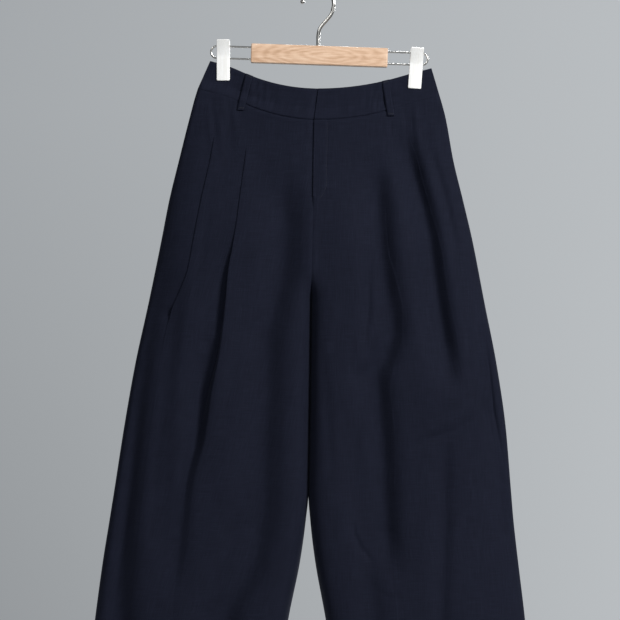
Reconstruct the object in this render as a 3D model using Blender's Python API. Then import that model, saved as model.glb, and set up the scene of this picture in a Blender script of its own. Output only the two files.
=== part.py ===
"""Wide-leg linen trousers, held by the waistband in a wooden clip hanger.

Metres, +Z up. The origin is where the hanger hangs: the inside of the top of its hook.
The front faces -Y. Right and left are the wearer's, so the right leg is at -X.
Heights are given as drops below the origin, and widths as distances from X = 0.
"""

import math

import bmesh
import bpy
import numpy as np

# Cloth
WALL = 0.0015
SEAM_GAP = 0.0003
HEM_DROP = 1.150
CROTCH_DROP = 0.500
CROTCH_CURVE = 0.085
FLY_END = 0.332
FLY_UNDERLAP = 0.012
FLY_STEP = WALL + 0.0005

# The waist line between the clips hangs as a parabola, and is straight beyond them.
CLIP_INNER = 0.140
CLIP_EASE = 0.018
CLIPPED_FROM = 0.136
WAIST_TOP = {"centre": 0.1586, "right": 0.0365, "left": 0.0226}
WAIST_SEAM = {"centre": 0.2048, "right": 0.0340, "left": 0.0190}
WAIST_END_SLOPE = 0.26
WAIST_OPENING = {"front": 0.010, "back": 0.009}
BACK_WAIST_LOWER = 0.0012
CLIP_GRIP = 0.0300
CLIP_FLARE = 0.0052

SIDES = {"right": -1.0, "left": 1.0}
FACES = {"front": -1.0, "back": 1.0}

# The outline and the depth of the cloth, down the garment.
SECTION_COLUMNS = ("drop", "right", "left", "centre", "leg_gap", "front", "back")
SECTIONS = (
    (0.110, 0.1710, 0.1770, 0.0040, 0.0000, 0.012, 0.011),
    (0.160, 0.1930, 0.1920, 0.0012, 0.0000, 0.014, 0.013),
    (0.205, 0.2056, 0.2044, -0.0050, 0.0000, 0.018, 0.015),
    (0.272, 0.2224, 0.2165, -0.0066, 0.0000, 0.025, 0.020),
    (0.336, 0.2380, 0.2320, -0.0075, 0.0000, 0.031, 0.025),
    (0.400, 0.2505, 0.2470, -0.0090, 0.0000, 0.035, 0.028),
    (0.500, 0.2710, 0.2664, -0.0110, 0.0000, 0.038, 0.031),
    (0.600, 0.2928, 0.2860, -0.0122, 0.0000, 0.040, 0.032),
    (0.700, 0.3104, 0.3005, -0.0136, 0.0000, 0.041, 0.033),
    (0.800, 0.3260, 0.3088, -0.0152, 0.0000, 0.041, 0.033),
    (0.850, 0.3340, 0.3130, -0.0160, 0.0040, 0.041, 0.033),
    (0.912, 0.3440, 0.3200, -0.0166, 0.0120, 0.041, 0.034),
    (1.006, 0.3568, 0.3312, -0.0176, 0.0300, 0.041, 0.035),
    (1.150, 0.3740, 0.3450, -0.0180, 0.0520, 0.042, 0.036),
)
SIDE_ROUNDNESS = 2.5

# Knife pleats of the front, folded towards the side seams. The path gives the fold's edge.
# Each is flat to crisp_to, stands open at open_angle from open_at, and has gone at fades_at.
PLEATS = {
    "right": (
        {
            "path": (
                (0.190, 0.1100), (0.253, 0.1140), (0.317, 0.1220), (0.365, 0.1285), (0.413, 0.1376),
                (0.448, 0.1455), (0.500, 0.1500), (0.574, 0.1590), (0.645, 0.1740), (0.715, 0.1840),
                (0.786, 0.2010), (0.880, 0.2110), (0.936, 0.2180), (1.150, 0.2300),
            ),
            "crisp_to": 0.370, "open_at": 0.500, "fades_at": 0.980,
            "fold": 0.0130, "step": 0.0110, "open_angle": 72.0, "lift": 0.0045,
        },
        {
            "path": (
                (0.160, 0.1530), (0.237, 0.1655), (0.275, 0.1720), (0.330, 0.1840), (0.389, 0.1955),
                (0.448, 0.2065), (0.472, 0.2150), (0.514, 0.2330), (0.600, 0.2520), (1.150, 0.3150),
            ),
            "crisp_to": 0.450, "open_at": 0.525, "fades_at": 0.620,
            "fold": 0.0100, "step": 0.0040, "open_angle": 45.0, "lift": 0.0020,
        },
    ),
    "left": (
        {
            "path": (
                (0.190, 0.1000), (0.280, 0.1060), (0.365, 0.1075), (0.416, 0.1110), (0.464, 0.1240),
                (0.514, 0.1340), (0.552, 0.1340), (0.600, 0.1210), (0.632, 0.1140), (0.674, 0.1180),
                (0.740, 0.1220), (0.810, 0.1210), (1.150, 0.1300),
            ),
            "crisp_to": 0.275, "open_at": 0.430, "fades_at": 0.900,
            "fold": 0.0120, "step": 0.0085, "open_angle": 62.0, "lift": 0.0035,
        },
        {
            "path": (
                (0.170, 0.1380), (0.240, 0.1470), (0.263, 0.1560), (0.310, 0.1680), (0.353, 0.1800),
                (0.424, 0.1980), (0.484, 0.2060), (0.552, 0.2200), (0.613, 0.2290), (1.150, 0.2700),
            ),
            "crisp_to": 0.225, "open_at": 0.330, "fades_at": 0.660,
            "fold": 0.0120, "step": 0.0110, "open_angle": 70.0, "lift": 0.0030,
        },
    ),
}
FOLD_RADIUS = {"flat": 0.00108, "open": 0.0042, "faded": 0.0110}
FADED_ANGLE = math.radians(6.0)
LIFT_REACH = 0.030

# Soft troughs between the folds: path, depth and half width. Most run on to the hem.
TROUGHS = {
    ("front", "right"): (
        (((0.285, 0.039), (0.350, 0.036), (0.440, 0.039), (0.513, 0.055), (0.620, 0.069),
          (0.790, 0.077), (0.900, 0.090), (1.000, 0.128), (1.150, 0.146)), 0.0095, 0.0130),
        (((0.500, 0.266), (0.650, 0.283), (0.860, 0.299), (0.960, 0.305), (1.150, 0.300)), 0.0080, 0.0125),
        (((0.780, 0.120), (0.900, 0.143), (1.000, 0.180), (1.150, 0.196)), 0.0050, 0.0140),
    ),
    ("front", "left"): (
        (((0.500, 0.266), (0.650, 0.281), (0.760, 0.297), (0.900, 0.304)), 0.0060, 0.0075),
        (((0.240, 0.192), (0.330, 0.212), (0.430, 0.234)), 0.0030, 0.0080),
        (((0.720, 0.205), (0.860, 0.203), (1.000, 0.199), (1.150, 0.204)), 0.0070, 0.0140),
        (((0.640, 0.048), (0.780, 0.060), (0.950, 0.082), (1.150, 0.110)), 0.0060, 0.0160),
    ),
    ("back", "right"): (
        (((0.300, 0.070), (0.500, 0.092), (0.800, 0.118), (1.150, 0.128)), 0.0090, 0.0170),
        (((0.360, 0.168), (0.620, 0.206), (0.900, 0.226), (1.150, 0.240)), 0.0110, 0.0180),
        (((0.620, 0.262), (0.850, 0.294), (1.150, 0.318)), 0.0060, 0.0120),
    ),
    ("back", "left"): (
        (((0.330, 0.052), (0.520, 0.076), (0.820, 0.094), (1.150, 0.104)), 0.0080, 0.0160),
        (((0.280, 0.150), (0.560, 0.180), (0.860, 0.196), (1.150, 0.200)), 0.0105, 0.0190),
        (((0.560, 0.240), (0.800, 0.262), (1.150, 0.284)), 0.0070, 0.0130),
    ),
}
TROUGH_FADE = 0.120
EDGE_FADE = 0.10

# Rows of the panels down the centre, and how many columns each stretch across them takes.
PANEL_ROWS = (
    0.2048, 0.226, 0.250, 0.278, 0.306, 0.3305, 0.334, 0.352, 0.378, 0.408, 0.436, 0.462, 0.482,
    0.496, 0.515, 0.545, 0.585, 0.635, 0.690, 0.745, 0.800, 0.850, 0.912, 0.980, 1.060, 1.150,
)
FRONT_COLUMNS = {"centre": 7, "turn": 3, "between": 4, "side": 6}
BACK_COLUMNS = 16
BAND_COLUMNS = 17
BAND_ROWS = (0.0, 0.33, 0.65, 0.83, 1.0)

# Belt loops: the distance from X = 0 at the waist line, and the lean of each.
LOOP_WIDTH = 0.0110
LOOP_LENGTH = 0.0565
LOOP_WALL = 0.0013
LOOP_BULGE = 0.0024
LOOP_FOOT = 0.0011
BELT_LOOPS = {
    "belt_loop_front_right": ("front", -0.1093, -0.0140),
    "belt_loop_front_left": ("front", 0.1079, 0.0088),
    "belt_loop_back_right": ("back", -0.1060, -0.0110),
    "belt_loop_back_centre": ("back", 0.0000, 0.0000),
    "belt_loop_back_left": ("back", 0.1060, 0.0070),
}

# Hanger
HANGER_TILT = math.radians(2.0)
BAR_CENTRE = (0.0021, 0.1050)
BAR_LENGTH = 0.2186
BAR_HEIGHT = 0.0305
BAR_DEPTH = 0.0140
BAR_ROUNDING = 0.0012
RAIL_RADIUS = 0.0015
RAIL_SPACING = 0.0192
RAIL_REACH = 0.1735
HOOK_RADIUS = 0.0029
HOOK_BEND = 0.0250
HOOK_TIP_RADIUS = 0.0036
HOOK_ARC = (172.0, -15.0)
HOOK_NECK = (
    (0.0228, 0.0350), (0.0203, 0.0403), (0.0165, 0.0451), (0.0125, 0.0499), (0.0080, 0.0547),
    (0.0042, 0.0597), (0.0018, 0.0645), (0.0006, 0.0700), (0.0000, 0.0760),
)
JAW_WIDTH = 0.0210
JAW_HEIGHT = 0.0652
JAW_PLATE = 0.0020
JAW_GRIP = WALL + 0.00045
JAW_FLARE = 0.0062
JAW_BEND = 0.40
CORE_WIDTH = 0.0150
CLIPS = {"right": (-0.1515, 0.1126, 0.0), "left": (0.1566, 0.1254, math.radians(4.1))}


def clear_scene():
    for obj in list(bpy.data.objects):
        bpy.data.objects.remove(obj)


def material(name, colour, roughness, metallic):
    made = bpy.data.materials.new(name)
    made.use_nodes = True
    shader = made.node_tree.nodes["Principled BSDF"]
    shader.inputs["Base Color"].default_value = (*colour, 1.0)
    shader.inputs["Roughness"].default_value = roughness
    shader.inputs["Metallic"].default_value = metallic
    return made


def smoothstep(value):
    """0 below 0, 1 above 1, and 3v^2 - 2v^3 between."""
    v = np.clip(value, 0.0, 1.0)
    return v * v * (3.0 - 2.0 * v)


def through(value, knots, heights):
    """A smooth curve through the knots that never overshoots them: cubic pieces whose
    slope at a knot is the harmonic mean of its two chords, or 0 where they change sign."""
    knots = np.asarray(knots, float)
    heights = np.asarray(heights, float)
    step = np.diff(knots)
    chord = np.diff(heights) / step
    slope = np.zeros_like(heights)
    same = chord[1:] * chord[:-1] > 0.0
    both = np.where(same, chord[1:] + chord[:-1], 1.0)
    slope[1:-1] = np.where(same, 2.0 * chord[1:] * chord[:-1] / both, 0.0)
    slope[0] = chord[0]
    slope[-1] = chord[-1]
    value = np.clip(value, knots[0], knots[-1])
    k = np.clip(np.searchsorted(knots, value, side="right") - 1, 0, len(knots) - 2)
    t = (value - knots[k]) / step[k]
    rise = t * t * (3.0 - 2.0 * t)
    return (
        heights[k] * (1.0 - rise)
        + heights[k + 1] * rise
        + step[k] * (slope[k] * t * (1.0 - t) ** 2 - slope[k + 1] * t * t * (1.0 - t))
    )


def section(column, drop):
    """A column of SECTIONS at any drop."""
    k = SECTION_COLUMNS.index(column)
    return through(drop, [row[0] for row in SECTIONS], [row[k] for row in SECTIONS])


def waist_line(x, line):
    """Drop of a waist line at x: a parabola between the clips and straight beyond them, with
    the corner between the two eased over CLIP_EASE to each side of it."""
    rise = np.where(x < 0.0, line["right"], line["left"])
    past = np.abs(x) - CLIP_INNER
    eased = np.clip(past + CLIP_EASE, 0.0, None) ** 2 / (4.0 * CLIP_EASE)
    beyond = np.where(past < CLIP_EASE, eased, past)
    between = np.abs(x) - beyond
    return line["centre"] - rise * (between / CLIP_INNER) ** 2 - WAIST_END_SLOPE * beyond


def centre_share(drop):
    """How much of its full depth the cloth keeps at the centre seam: all of it above the
    crotch curve, then down a quarter of an ellipse to nothing at the crotch."""
    fall = np.clip((drop - (CROTCH_DROP - CROTCH_CURVE)) / CROTCH_CURVE, 0.0, 1.0)
    return np.sqrt(1.0 - fall * fall)


def seam_turn(drop):
    """The angle that the wall has turned through at its inner edge, from facing forward
    above the crotch to facing the other leg below it."""
    return 0.5 * math.pi * smoothstep((drop - (CROTCH_DROP - 0.030)) / 0.030)


def inner_edge(drop):
    """Distance of a panel's inner edge from the centre line, to the middle of the wall."""
    return 0.5 * SEAM_GAP + 0.5 * WALL * np.sin(seam_turn(drop)) + section("leg_gap", drop)


def outer_edge(drop, side):
    """Distance of a panel's outer edge from the centre line, to the middle of the wall."""
    return section(side, drop) - SIDES[side] * section("centre", drop) - 0.5 * WALL


def side_x(across, drop, side):
    return section("centre", drop) + SIDES[side] * across


def base_depth(across, drop, side, face):
    """How far the cloth stands from the middle plane, without its folds. Below the hips it
    is a flattened oval, round at its edges. At the waist it is pinched flat in the clips and
    opens between them, and it flares just under them."""
    inner = inner_edge(drop)
    share = np.clip((across - inner) / (outer_edge(drop, side) - inner), 0.0, 1.0)
    to_centre = np.clip(1.0 - 2.0 * share, 0.0, 1.0) ** SIDE_ROUNDNESS
    to_side = np.clip(2.0 * share - 1.0, 0.0, 1.0) ** SIDE_ROUNDNESS
    kept = centre_share(drop)
    at_centre = np.sqrt(kept**2 + (1.0 - kept**2) * (1.0 - to_centre))
    body = section(face, drop) * at_centre * np.sqrt(1.0 - to_side)
    below_top = drop - waist_line(side_x(across, drop, side), WAIST_TOP)
    opening = (1.0 - np.clip(across / CLIPPED_FROM, 0.0, 1.0) ** 2) ** 1.5
    flare = CLIP_FLARE * smoothstep((below_top - CLIP_GRIP) / 0.020)
    waist = 0.5 * WALL + WAIST_OPENING[face] * opening + flare
    from_edge = np.clip((1.0 - share) * (outer_edge(drop, side) - inner) / (1.3 * waist), 0.0, 1.0)
    waist = waist * np.sqrt(1.0 - (1.0 - from_edge) ** 2)
    to_body = np.sin(0.5 * math.pi * np.clip((below_top - 0.034) / 0.250, 0.0, 1.0))
    return waist + (body - waist) * to_body


def trough_depth(across, drop, side, face):
    """The soft troughs of a panel: a bell across each path, fading in at its top, fading out
    at its end where that is above the hem, and fading at the panel's edges."""
    inner = inner_edge(drop)
    share = (across - inner) / (outer_edge(drop, side) - inner)
    edge = smoothstep(share / EDGE_FADE) * smoothstep((1.0 - share) / EDGE_FADE)
    total = np.zeros(np.broadcast(across, drop).shape)
    for path, depth, half_width in TROUGHS[face, side]:
        drops = [p[0] for p in path]
        middle = through(drop, drops, [p[1] for p in path]) - SIDES[side] * section("centre", drop)
        bell = np.exp(-0.5 * ((across - middle) / half_width) ** 2)
        fade = smoothstep((drop - drops[0]) / TROUGH_FADE)
        if drops[-1] < HEM_DROP:
            fade = fade * smoothstep((drops[-1] - drop) / TROUGH_FADE)
        total = total + depth * bell * fade
    return total * edge


def fly_share(drop):
    """1 where the right front runs on under the left one, behind the fly, and 0 below it."""
    return smoothstep((FLY_END - drop) / 0.0015)


def fly_step(across, drop, side):
    """How far the right front is set back beside the fly, to pass under the left one."""
    if side == "left":
        return np.zeros(np.broadcast(across, drop).shape)
    beside = 1.0 - smoothstep((across - 0.001) / 0.012)
    return FLY_STEP * beside * smoothstep((FLY_END + 0.022 - drop) / 0.018)


def front_inner_edge(drop, side):
    """The front's inner edge: the fly edge on the left, and the underlap on the right."""
    behind = fly_share(drop)
    at_fly = -FLY_UNDERLAP if side == "right" else 0.0
    return inner_edge(drop) * (1.0 - behind) + at_fly * behind


def seam_rise(x):
    """How much higher the waist seam is at x than at the centre."""
    return WAIST_SEAM["centre"] - waist_line(x, WAIST_SEAM)


def row_drop(x, row):
    """Drop of a row of the panels at x. The top row follows the waist seam, the rows below
    it follow less and less, and those from the crotch down are level."""
    length = CROTCH_DROP - PANEL_ROWS[0]
    follow = np.clip((CROTCH_DROP - row) / length, 0.0, 1.0) ** 1.4
    gap = SEAM_GAP * (row <= PANEL_ROWS[0])
    return row + gap - seam_rise(x) * follow


def landmark(row, side, distance):
    """Where a line that is given as a distance for each drop crosses each row: (across, drop).
    The row's drop depends on that place, so it is worked out four times over."""
    drop = row
    for _ in range(4):
        across = distance(drop)
        drop = row_drop(side_x(across, drop, side), row)
    return across, drop


def pleat_line(row, side, pleat):
    """The pleat's edge on each row: (across, drop)."""
    drops = [p[0] for p in pleat["path"]]
    places = [p[1] for p in pleat["path"]]
    return landmark(
        row, side, lambda drop: through(drop, drops, places) - SIDES[side] * section("centre", drop)
    )


def pleat_shape(drop, pleat):
    """The angle, bend radius, straight length and lift of a pleat at a drop. Flat, it is
    folded back through half a turn. It opens to open_angle and dies away to nothing."""
    opening = smoothstep((drop - pleat["crisp_to"]) / (pleat["open_at"] - pleat["crisp_to"]))
    fading = smoothstep((drop - pleat["open_at"]) / (pleat["fades_at"] - pleat["open_at"]))
    flat_angle = math.pi
    open_angle = math.radians(pleat["open_angle"])
    angle = (flat_angle + (open_angle - flat_angle) * opening) * (1.0 - fading) + FADED_ANGLE * fading
    radius = FOLD_RADIUS["flat"] + (FOLD_RADIUS["open"] - FOLD_RADIUS["flat"]) * opening**1.5
    radius = radius + (FOLD_RADIUS["faded"] - FOLD_RADIUS["open"]) * fading
    length = pleat["fold"] + (pleat["step"] - pleat["fold"]) * opening
    flat_lift = 2.0 * FOLD_RADIUS["flat"]
    lift = (flat_lift + (pleat["lift"] - flat_lift) * opening) * (1.0 - fading)
    return angle, radius, length, lift


def fold_points(shape, turns):
    """A pleat's own points: a turn through its angle, a straight stretch, and a turn back.
    Returns how far out and how far in each lies from where the fold starts."""
    angle, radius, length, _ = shape
    first = angle * np.linspace(0.0, 1.0, turns + 1)
    second = angle * np.linspace(1.0, 0.0, turns + 1)
    end_out = 2.0 * radius * np.sin(angle) + length * np.cos(angle)
    end_in = 2.0 * radius * (1.0 - np.cos(angle)) + length * np.sin(angle)
    out = np.concatenate([radius * np.sin(first), end_out - radius * np.sin(second)], axis=1)
    inward = np.concatenate(
        [radius * (1.0 - np.cos(first)), end_in - radius * (1.0 - np.cos(second))], axis=1
    )
    return out, inward


def front_section(row, side, columns):
    """A pleated front, a row of points for each row: how far across each point lies, and how
    far the pleats set it in. From the centre out it is plain cloth, a pleat, plain cloth,
    a pleat, and plain cloth to the side seam. Before a pleat the cloth is lifted, and past
    the pleat's edge it comes back to its place."""
    across_in, _ = landmark(row, side, lambda drop: front_inner_edge(drop, side))
    across_out, _ = landmark(row, side, lambda drop: outer_edge(drop, side))
    places = []
    insets = []
    begin = across_in
    carried = 0.0 * row
    edge_before = across_in - 1.0
    reach_before = np.ones_like(row)
    stretches = (columns["centre"], columns["between"], columns["side"])
    for k, count in enumerate(stretches):
        last = k == len(stretches) - 1
        if last:
            end = across_out
            lift = 0.0 * row
            spread = np.sin(0.5 * math.pi * np.arange(1, count + 1) / count)
        else:
            edge, drop = pleat_line(row, side, PLEATS[side][k])
            shape = pleat_shape(drop, PLEATS[side][k])
            end = edge - shape[1] * np.sin(np.minimum(shape[0], 0.5 * math.pi))
            lift = shape[3]
            even = np.arange(k, count + k) / (count + k)
            spread = even if k else 1.0 - np.cos(0.5 * math.pi * even)
        across = begin + (end - begin) * spread
        back = 1.0 - smoothstep((across - edge_before) / reach_before)
        raised = smoothstep((across - (end - LIFT_REACH)) / LIFT_REACH)
        places.append(across)
        insets.append(carried * back - lift * raised)
        if last:
            break
        out, inward = fold_points(shape, columns["turn"])
        places.append(end + out)
        insets.append(inward - lift)
        begin = end + out[:, -1:]
        carried = inward[:, -1:] - lift
        edge_before = edge
        after = across_out if k else pleat_line(row, side, PLEATS[side][1])[0]
        reach_before = 0.72 * (after - edge)
    return np.concatenate(places, axis=1), np.concatenate(insets, axis=1)


def drops_of(across, row, side):
    """The drop of points at these distances from the centre line, on these rows."""
    drop = row + 0.0 * across
    for _ in range(4):
        drop = row_drop(side_x(across, drop, side), row)
    return drop


def cloth_points(across, drop, side, face, inset):
    """Points of the middle of the wall, from how far across, down and set in they are."""
    depth = base_depth(across, drop, side, face) - inset - trough_depth(across, drop, side, face)
    y = FACES[face] * (np.maximum(depth, 0.0) + 0.5 * SEAM_GAP)
    return np.stack([side_x(across, drop, side), y, -drop], axis=-1)


def front_panel(side, rows=PANEL_ROWS, columns=FRONT_COLUMNS):
    """A front of the trousers: pleats at the top, round at the side seam and the inseam."""
    row = np.asarray(rows, float)[:, None]
    across, inset = front_section(row, side, columns)
    drop = drops_of(across, row, side)
    inset = inset + fly_step(across, drop, side)
    return cloth_points(across, drop, side, "front", inset)


def back_panel(side, rows=PANEL_ROWS, columns=BACK_COLUMNS):
    """A back of the trousers: plain, with soft troughs. Its columns crowd at both edges."""
    row = np.asarray(rows, float)[:, None]
    begin, _ = landmark(row, side, inner_edge)
    end, _ = landmark(row, side, lambda drop: outer_edge(drop, side))
    spread = 0.5 - 0.5 * np.cos(np.linspace(0.0, math.pi, columns))
    across = begin + (end - begin) * spread
    drop = drops_of(across, row, side)
    return cloth_points(across, drop, side, "back", 0.0)


def band_points(side, face, share, down, extra=0.0):
    """Points of the waistband: share runs from the centre to the side seam, and down from
    the waist line to the waist seam. Extra moves them out from the middle of the wall."""
    lower = BACK_WAIST_LOWER if face == "back" else 0.0
    top_drop, seam_drop = 0.5 * (WAIST_TOP["centre"] + 0.116), WAIST_SEAM["centre"] - 0.040
    sign = SIDES[side]
    start = -FLY_UNDERLAP if (side, face) == ("right", "front") else 0.0
    for _ in range(4):
        top_end = sign * (section(side, top_drop) - 0.5 * WALL)
        seam_end = sign * (section(side, seam_drop) - 0.5 * WALL)
        top_drop = waist_line(top_end, WAIST_TOP) + lower
        seam_drop = waist_line(seam_end, WAIST_SEAM)
    top_start = section("centre", WAIST_TOP["centre"]) + sign * start
    seam_start = section("centre", WAIST_SEAM["centre"]) + sign * start
    top_x = top_start + (top_end - top_start) * share
    seam_x = seam_start + (seam_end - seam_start) * share
    top = waist_line(top_x, WAIST_TOP) + lower
    seam = waist_line(seam_x, WAIST_SEAM)
    x = top_x + (seam_x - top_x) * down
    drop = top + (seam - top) * down
    across = sign * (x - section("centre", drop))
    inset = fly_step(across, drop, side) if face == "front" else 0.0
    depth = base_depth(across, drop, side, face) - inset
    y = FACES[face] * (np.maximum(depth, 0.0) + 0.5 * SEAM_GAP + extra)
    return np.stack([x, y, -drop], axis=-1)


def front_band(side, columns=BAND_COLUMNS, rows=BAND_ROWS):
    """A front waistband, with columns at the fly for the step of the right one."""
    start = -FLY_UNDERLAP if side == "right" else 0.0
    end = outer_edge(WAIST_TOP["centre"], side)
    fly_end = 0.0135
    fly = np.array([start, 0.5 * start, 0.0, 0.5 * fly_end]) if start else np.array([0.0, 0.5 * fly_end])
    rest = fly_end + (end - fly_end) * np.sin(0.5 * math.pi * np.linspace(0.0, 1.0, columns))
    share = (np.concatenate([fly, rest]) - start) / (end - start)
    return band_points(side, "front", share[None, :], np.array(rows)[:, None])


def back_band(columns=BACK_COLUMNS, rows=BAND_ROWS):
    """The back waistband is one piece from side seam to side seam. Its columns stand over
    those of the back panels."""
    down = np.array(rows)[:, None]
    half = (0.5 - 0.5 * np.cos(np.linspace(0.0, math.pi, columns)))[None, :]
    right = band_points("right", "back", half, down)
    left = band_points("left", "back", half, down)
    return np.concatenate([right[:, ::-1], left[:, 1:]], axis=1)


def loop_points(face, x, lean, columns=3, rows=9):
    """A belt loop: a strip from the waist line to just under the waist seam, made from the
    waistband's points moved out. It lies on the band at its top, stands off it between the
    ends, and lies on the panel's seam at its foot."""
    down = np.linspace(0.0, 1.0, rows)[:, None]
    across = np.linspace(-0.5, 0.5, columns)[None, :] * LOOP_WIDTH
    top = float(waist_line(x, WAIST_TOP))
    place = x + lean * down + across
    drop = top - 0.0006 + LOOP_LENGTH * down + 0.0 * across
    bulge = LOOP_BULGE * np.sin(math.pi * np.minimum(down, 0.5)) ** 0.6
    foot = (LOOP_BULGE - LOOP_FOOT) * smoothstep((down - 0.60) / 0.28)
    off = 0.5 * WALL + SEAM_GAP + 0.5 * LOOP_WALL + bulge - foot
    depth = np.where(
        place < section("centre", drop),
        base_depth(section("centre", drop) - place, drop, "right", face),
        base_depth(place - section("centre", drop), drop, "left", face),
    )
    y = FACES[face] * (depth + 0.5 * SEAM_GAP + off)
    return np.stack([place, y, -drop], axis=-1)


def wall_mesh(middle, thickness, start_normal=None, end_normal=None):
    """Closes a grid of points into a wall: both faces lie half the thickness off, along the
    grid's normals, and a rim joins them. The normals are level at the top and the bottom
    row, where the rims are, and are given at the first and last columns of a panel."""
    along = np.gradient(middle, axis=1) * 2.0
    along[:, 1:-1] = middle[:, 2:] - middle[:, :-2]
    down = np.gradient(middle, axis=0)
    normal = np.cross(along, down)
    normal[0, :, 2] = 0.0
    normal[-1, :, 2] = 0.0
    if start_normal is not None:
        normal[:, 0] = start_normal
    if end_normal is not None:
        normal[:, -1] = end_normal
    normal /= np.linalg.norm(normal, axis=-1, keepdims=True)
    points = np.concatenate(
        [(middle + 0.5 * thickness * normal).reshape(-1, 3), (middle - 0.5 * thickness * normal).reshape(-1, 3)]
    )
    rows, columns = middle.shape[:2]
    index = np.arange(rows * columns).reshape(rows, columns)
    a, b, c, d = index[:-1, :-1], index[1:, :-1], index[1:, 1:], index[:-1, 1:]
    outer = np.concatenate([np.stack([a, c, b], -1).reshape(-1, 3), np.stack([a, d, c], -1).reshape(-1, 3)])
    inner = outer[:, ::-1] + rows * columns
    loop = np.concatenate([index[0, :-1], index[:-1, -1], index[-1, :0:-1], index[:0:-1, 0]])
    after = np.roll(loop, -1)
    under = loop + rows * columns
    under_after = after + rows * columns
    rim = np.concatenate([np.stack([after, loop, under], -1), np.stack([after, under, under_after], -1)])
    return points, np.concatenate([outer, inner, rim])


def add_mesh(name, points, faces, finish, smooth_angle=math.radians(40.0)):
    mesh = bpy.data.meshes.new(name)
    mesh.from_pydata([tuple(p) for p in points.tolist()], [], [tuple(f) for f in faces.tolist()])
    work = bmesh.new()
    work.from_mesh(mesh)
    bmesh.ops.recalc_face_normals(work, faces=work.faces)
    work.to_mesh(mesh)
    work.free()
    mesh.materials.append(finish)
    mesh.shade_smooth()
    mesh.set_sharp_from_angle(angle=smooth_angle)
    obj = bpy.data.objects.new(name, mesh)
    bpy.context.scene.collection.objects.link(obj)
    return obj


def panel_edges(side, face, middle):
    """Directions of the wall's outer face at the first and last columns of a panel."""
    turn = seam_turn(-middle[:, 0, 2])
    sign = SIDES[side]
    start = np.stack([-sign * np.sin(turn), FACES[face] * np.cos(turn), 0.0 * turn], axis=-1)
    end = np.broadcast_to(np.array([sign, 0.0, 0.0]), start.shape)
    return start, end


def add_panel(name, middle, side, face, finish):
    """A panel's normals have to point out of the garment, which the sign below sees to."""
    start, end = panel_edges(side, face, middle)
    outward = SIDES[side] * FACES[face]
    points, faces = wall_mesh(middle, WALL, outward * start, outward * end)
    return add_mesh(name, points, faces, finish)


def make_trousers(cloth):
    for side in SIDES:
        add_panel(f"front_panel_{side}", front_panel(side), side, "front", cloth)
        add_panel(f"back_panel_{side}", back_panel(side), side, "back", cloth)
        points, faces = wall_mesh(front_band(side), WALL, None, (-1.0, 0.0, 0.0))
        add_mesh(f"waistband_front_{side}", points, faces, cloth)
    points, faces = wall_mesh(back_band(), WALL, (-1.0, 0.0, 0.0), (1.0, 0.0, 0.0))
    add_mesh("waistband_back", points, faces, cloth)
    for name, (face, x, lean) in BELT_LOOPS.items():
        points, faces = wall_mesh(loop_points(face, x, lean), LOOP_WALL)
        add_mesh(name, points, faces, cloth)


def add_wire(name, places, radius, finish):
    """A round wire along a list of (x, drop) in the middle plane."""
    curve = bpy.data.curves.new(name, "CURVE")
    curve.dimensions = "3D"
    spline = curve.splines.new("POLY")
    spline.points.add(len(places) - 1)
    for point, (x, drop) in zip(spline.points, places):
        point.co = (x, 0.0, -drop, 1.0)
    curve.bevel_depth = radius
    curve.bevel_resolution = 3
    curve.use_fill_caps = True
    curve.materials.append(finish)
    obj = bpy.data.objects.new(name, curve)
    bpy.context.scene.collection.objects.link(obj)
    return obj


def tilted(x, drop):
    """A place on the hanger, from one measured along its bar and below its middle."""
    turn = np.array([[math.cos(HANGER_TILT), -math.sin(HANGER_TILT)], [math.sin(HANGER_TILT), math.cos(HANGER_TILT)]])
    moved = turn @ np.array([x, drop])
    return BAR_CENTRE[0] + moved[0], BAR_CENTRE[1] + moved[1]


def rail_places(sign):
    """A rail is one wire: out of the bar's end, round a half circle, and back in below."""
    bend = 0.5 * RAIL_SPACING
    start = 0.5 * BAR_LENGTH + SEAM_GAP
    turn_at = RAIL_REACH - bend
    straight = np.linspace(start, turn_at, 4)[:-1]
    arc = [
        (turn_at + bend * math.cos(a), bend * math.sin(a))
        for a in np.linspace(-0.5 * math.pi, 0.5 * math.pi, 11)
    ]
    places = [(x, -bend) for x in straight] + arc + [(x, bend) for x in straight[::-1]]
    return [tilted(sign * x, drop) for x, drop in places]


def hook_places():
    """The hook's middle line: about half a circle from its tip, over the top, then
    the neck, which leans back under the top, and the stem down to the bar."""
    first, last = (math.radians(a) for a in HOOK_ARC)
    middle_drop = HOOK_BEND - HOOK_RADIUS
    arc = [
        (HOOK_BEND * math.cos(a), middle_drop - HOOK_BEND * math.sin(a))
        for a in np.linspace(first, last, 25)
    ]
    bar_top = BAR_CENTRE[1] - 0.5 * BAR_HEIGHT / math.cos(HANGER_TILT) - BAR_CENTRE[0] * math.tan(HANGER_TILT)
    stem = bar_top - SEAM_GAP - HOOK_RADIUS * math.sin(HANGER_TILT)
    knots = [arc[-1], *HOOK_NECK, (0.0, stem)]
    lengths = np.concatenate([[0.0], np.cumsum([math.dist(p, q) for p, q in zip(knots, knots[1:])])])
    along = np.linspace(0.0, lengths[-1], 21)[1:]
    neck_x = through(along, lengths, [k[0] for k in knots])
    neck_drop = through(along, lengths, [k[1] for k in knots])
    return arc + list(zip(neck_x, neck_drop))


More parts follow.
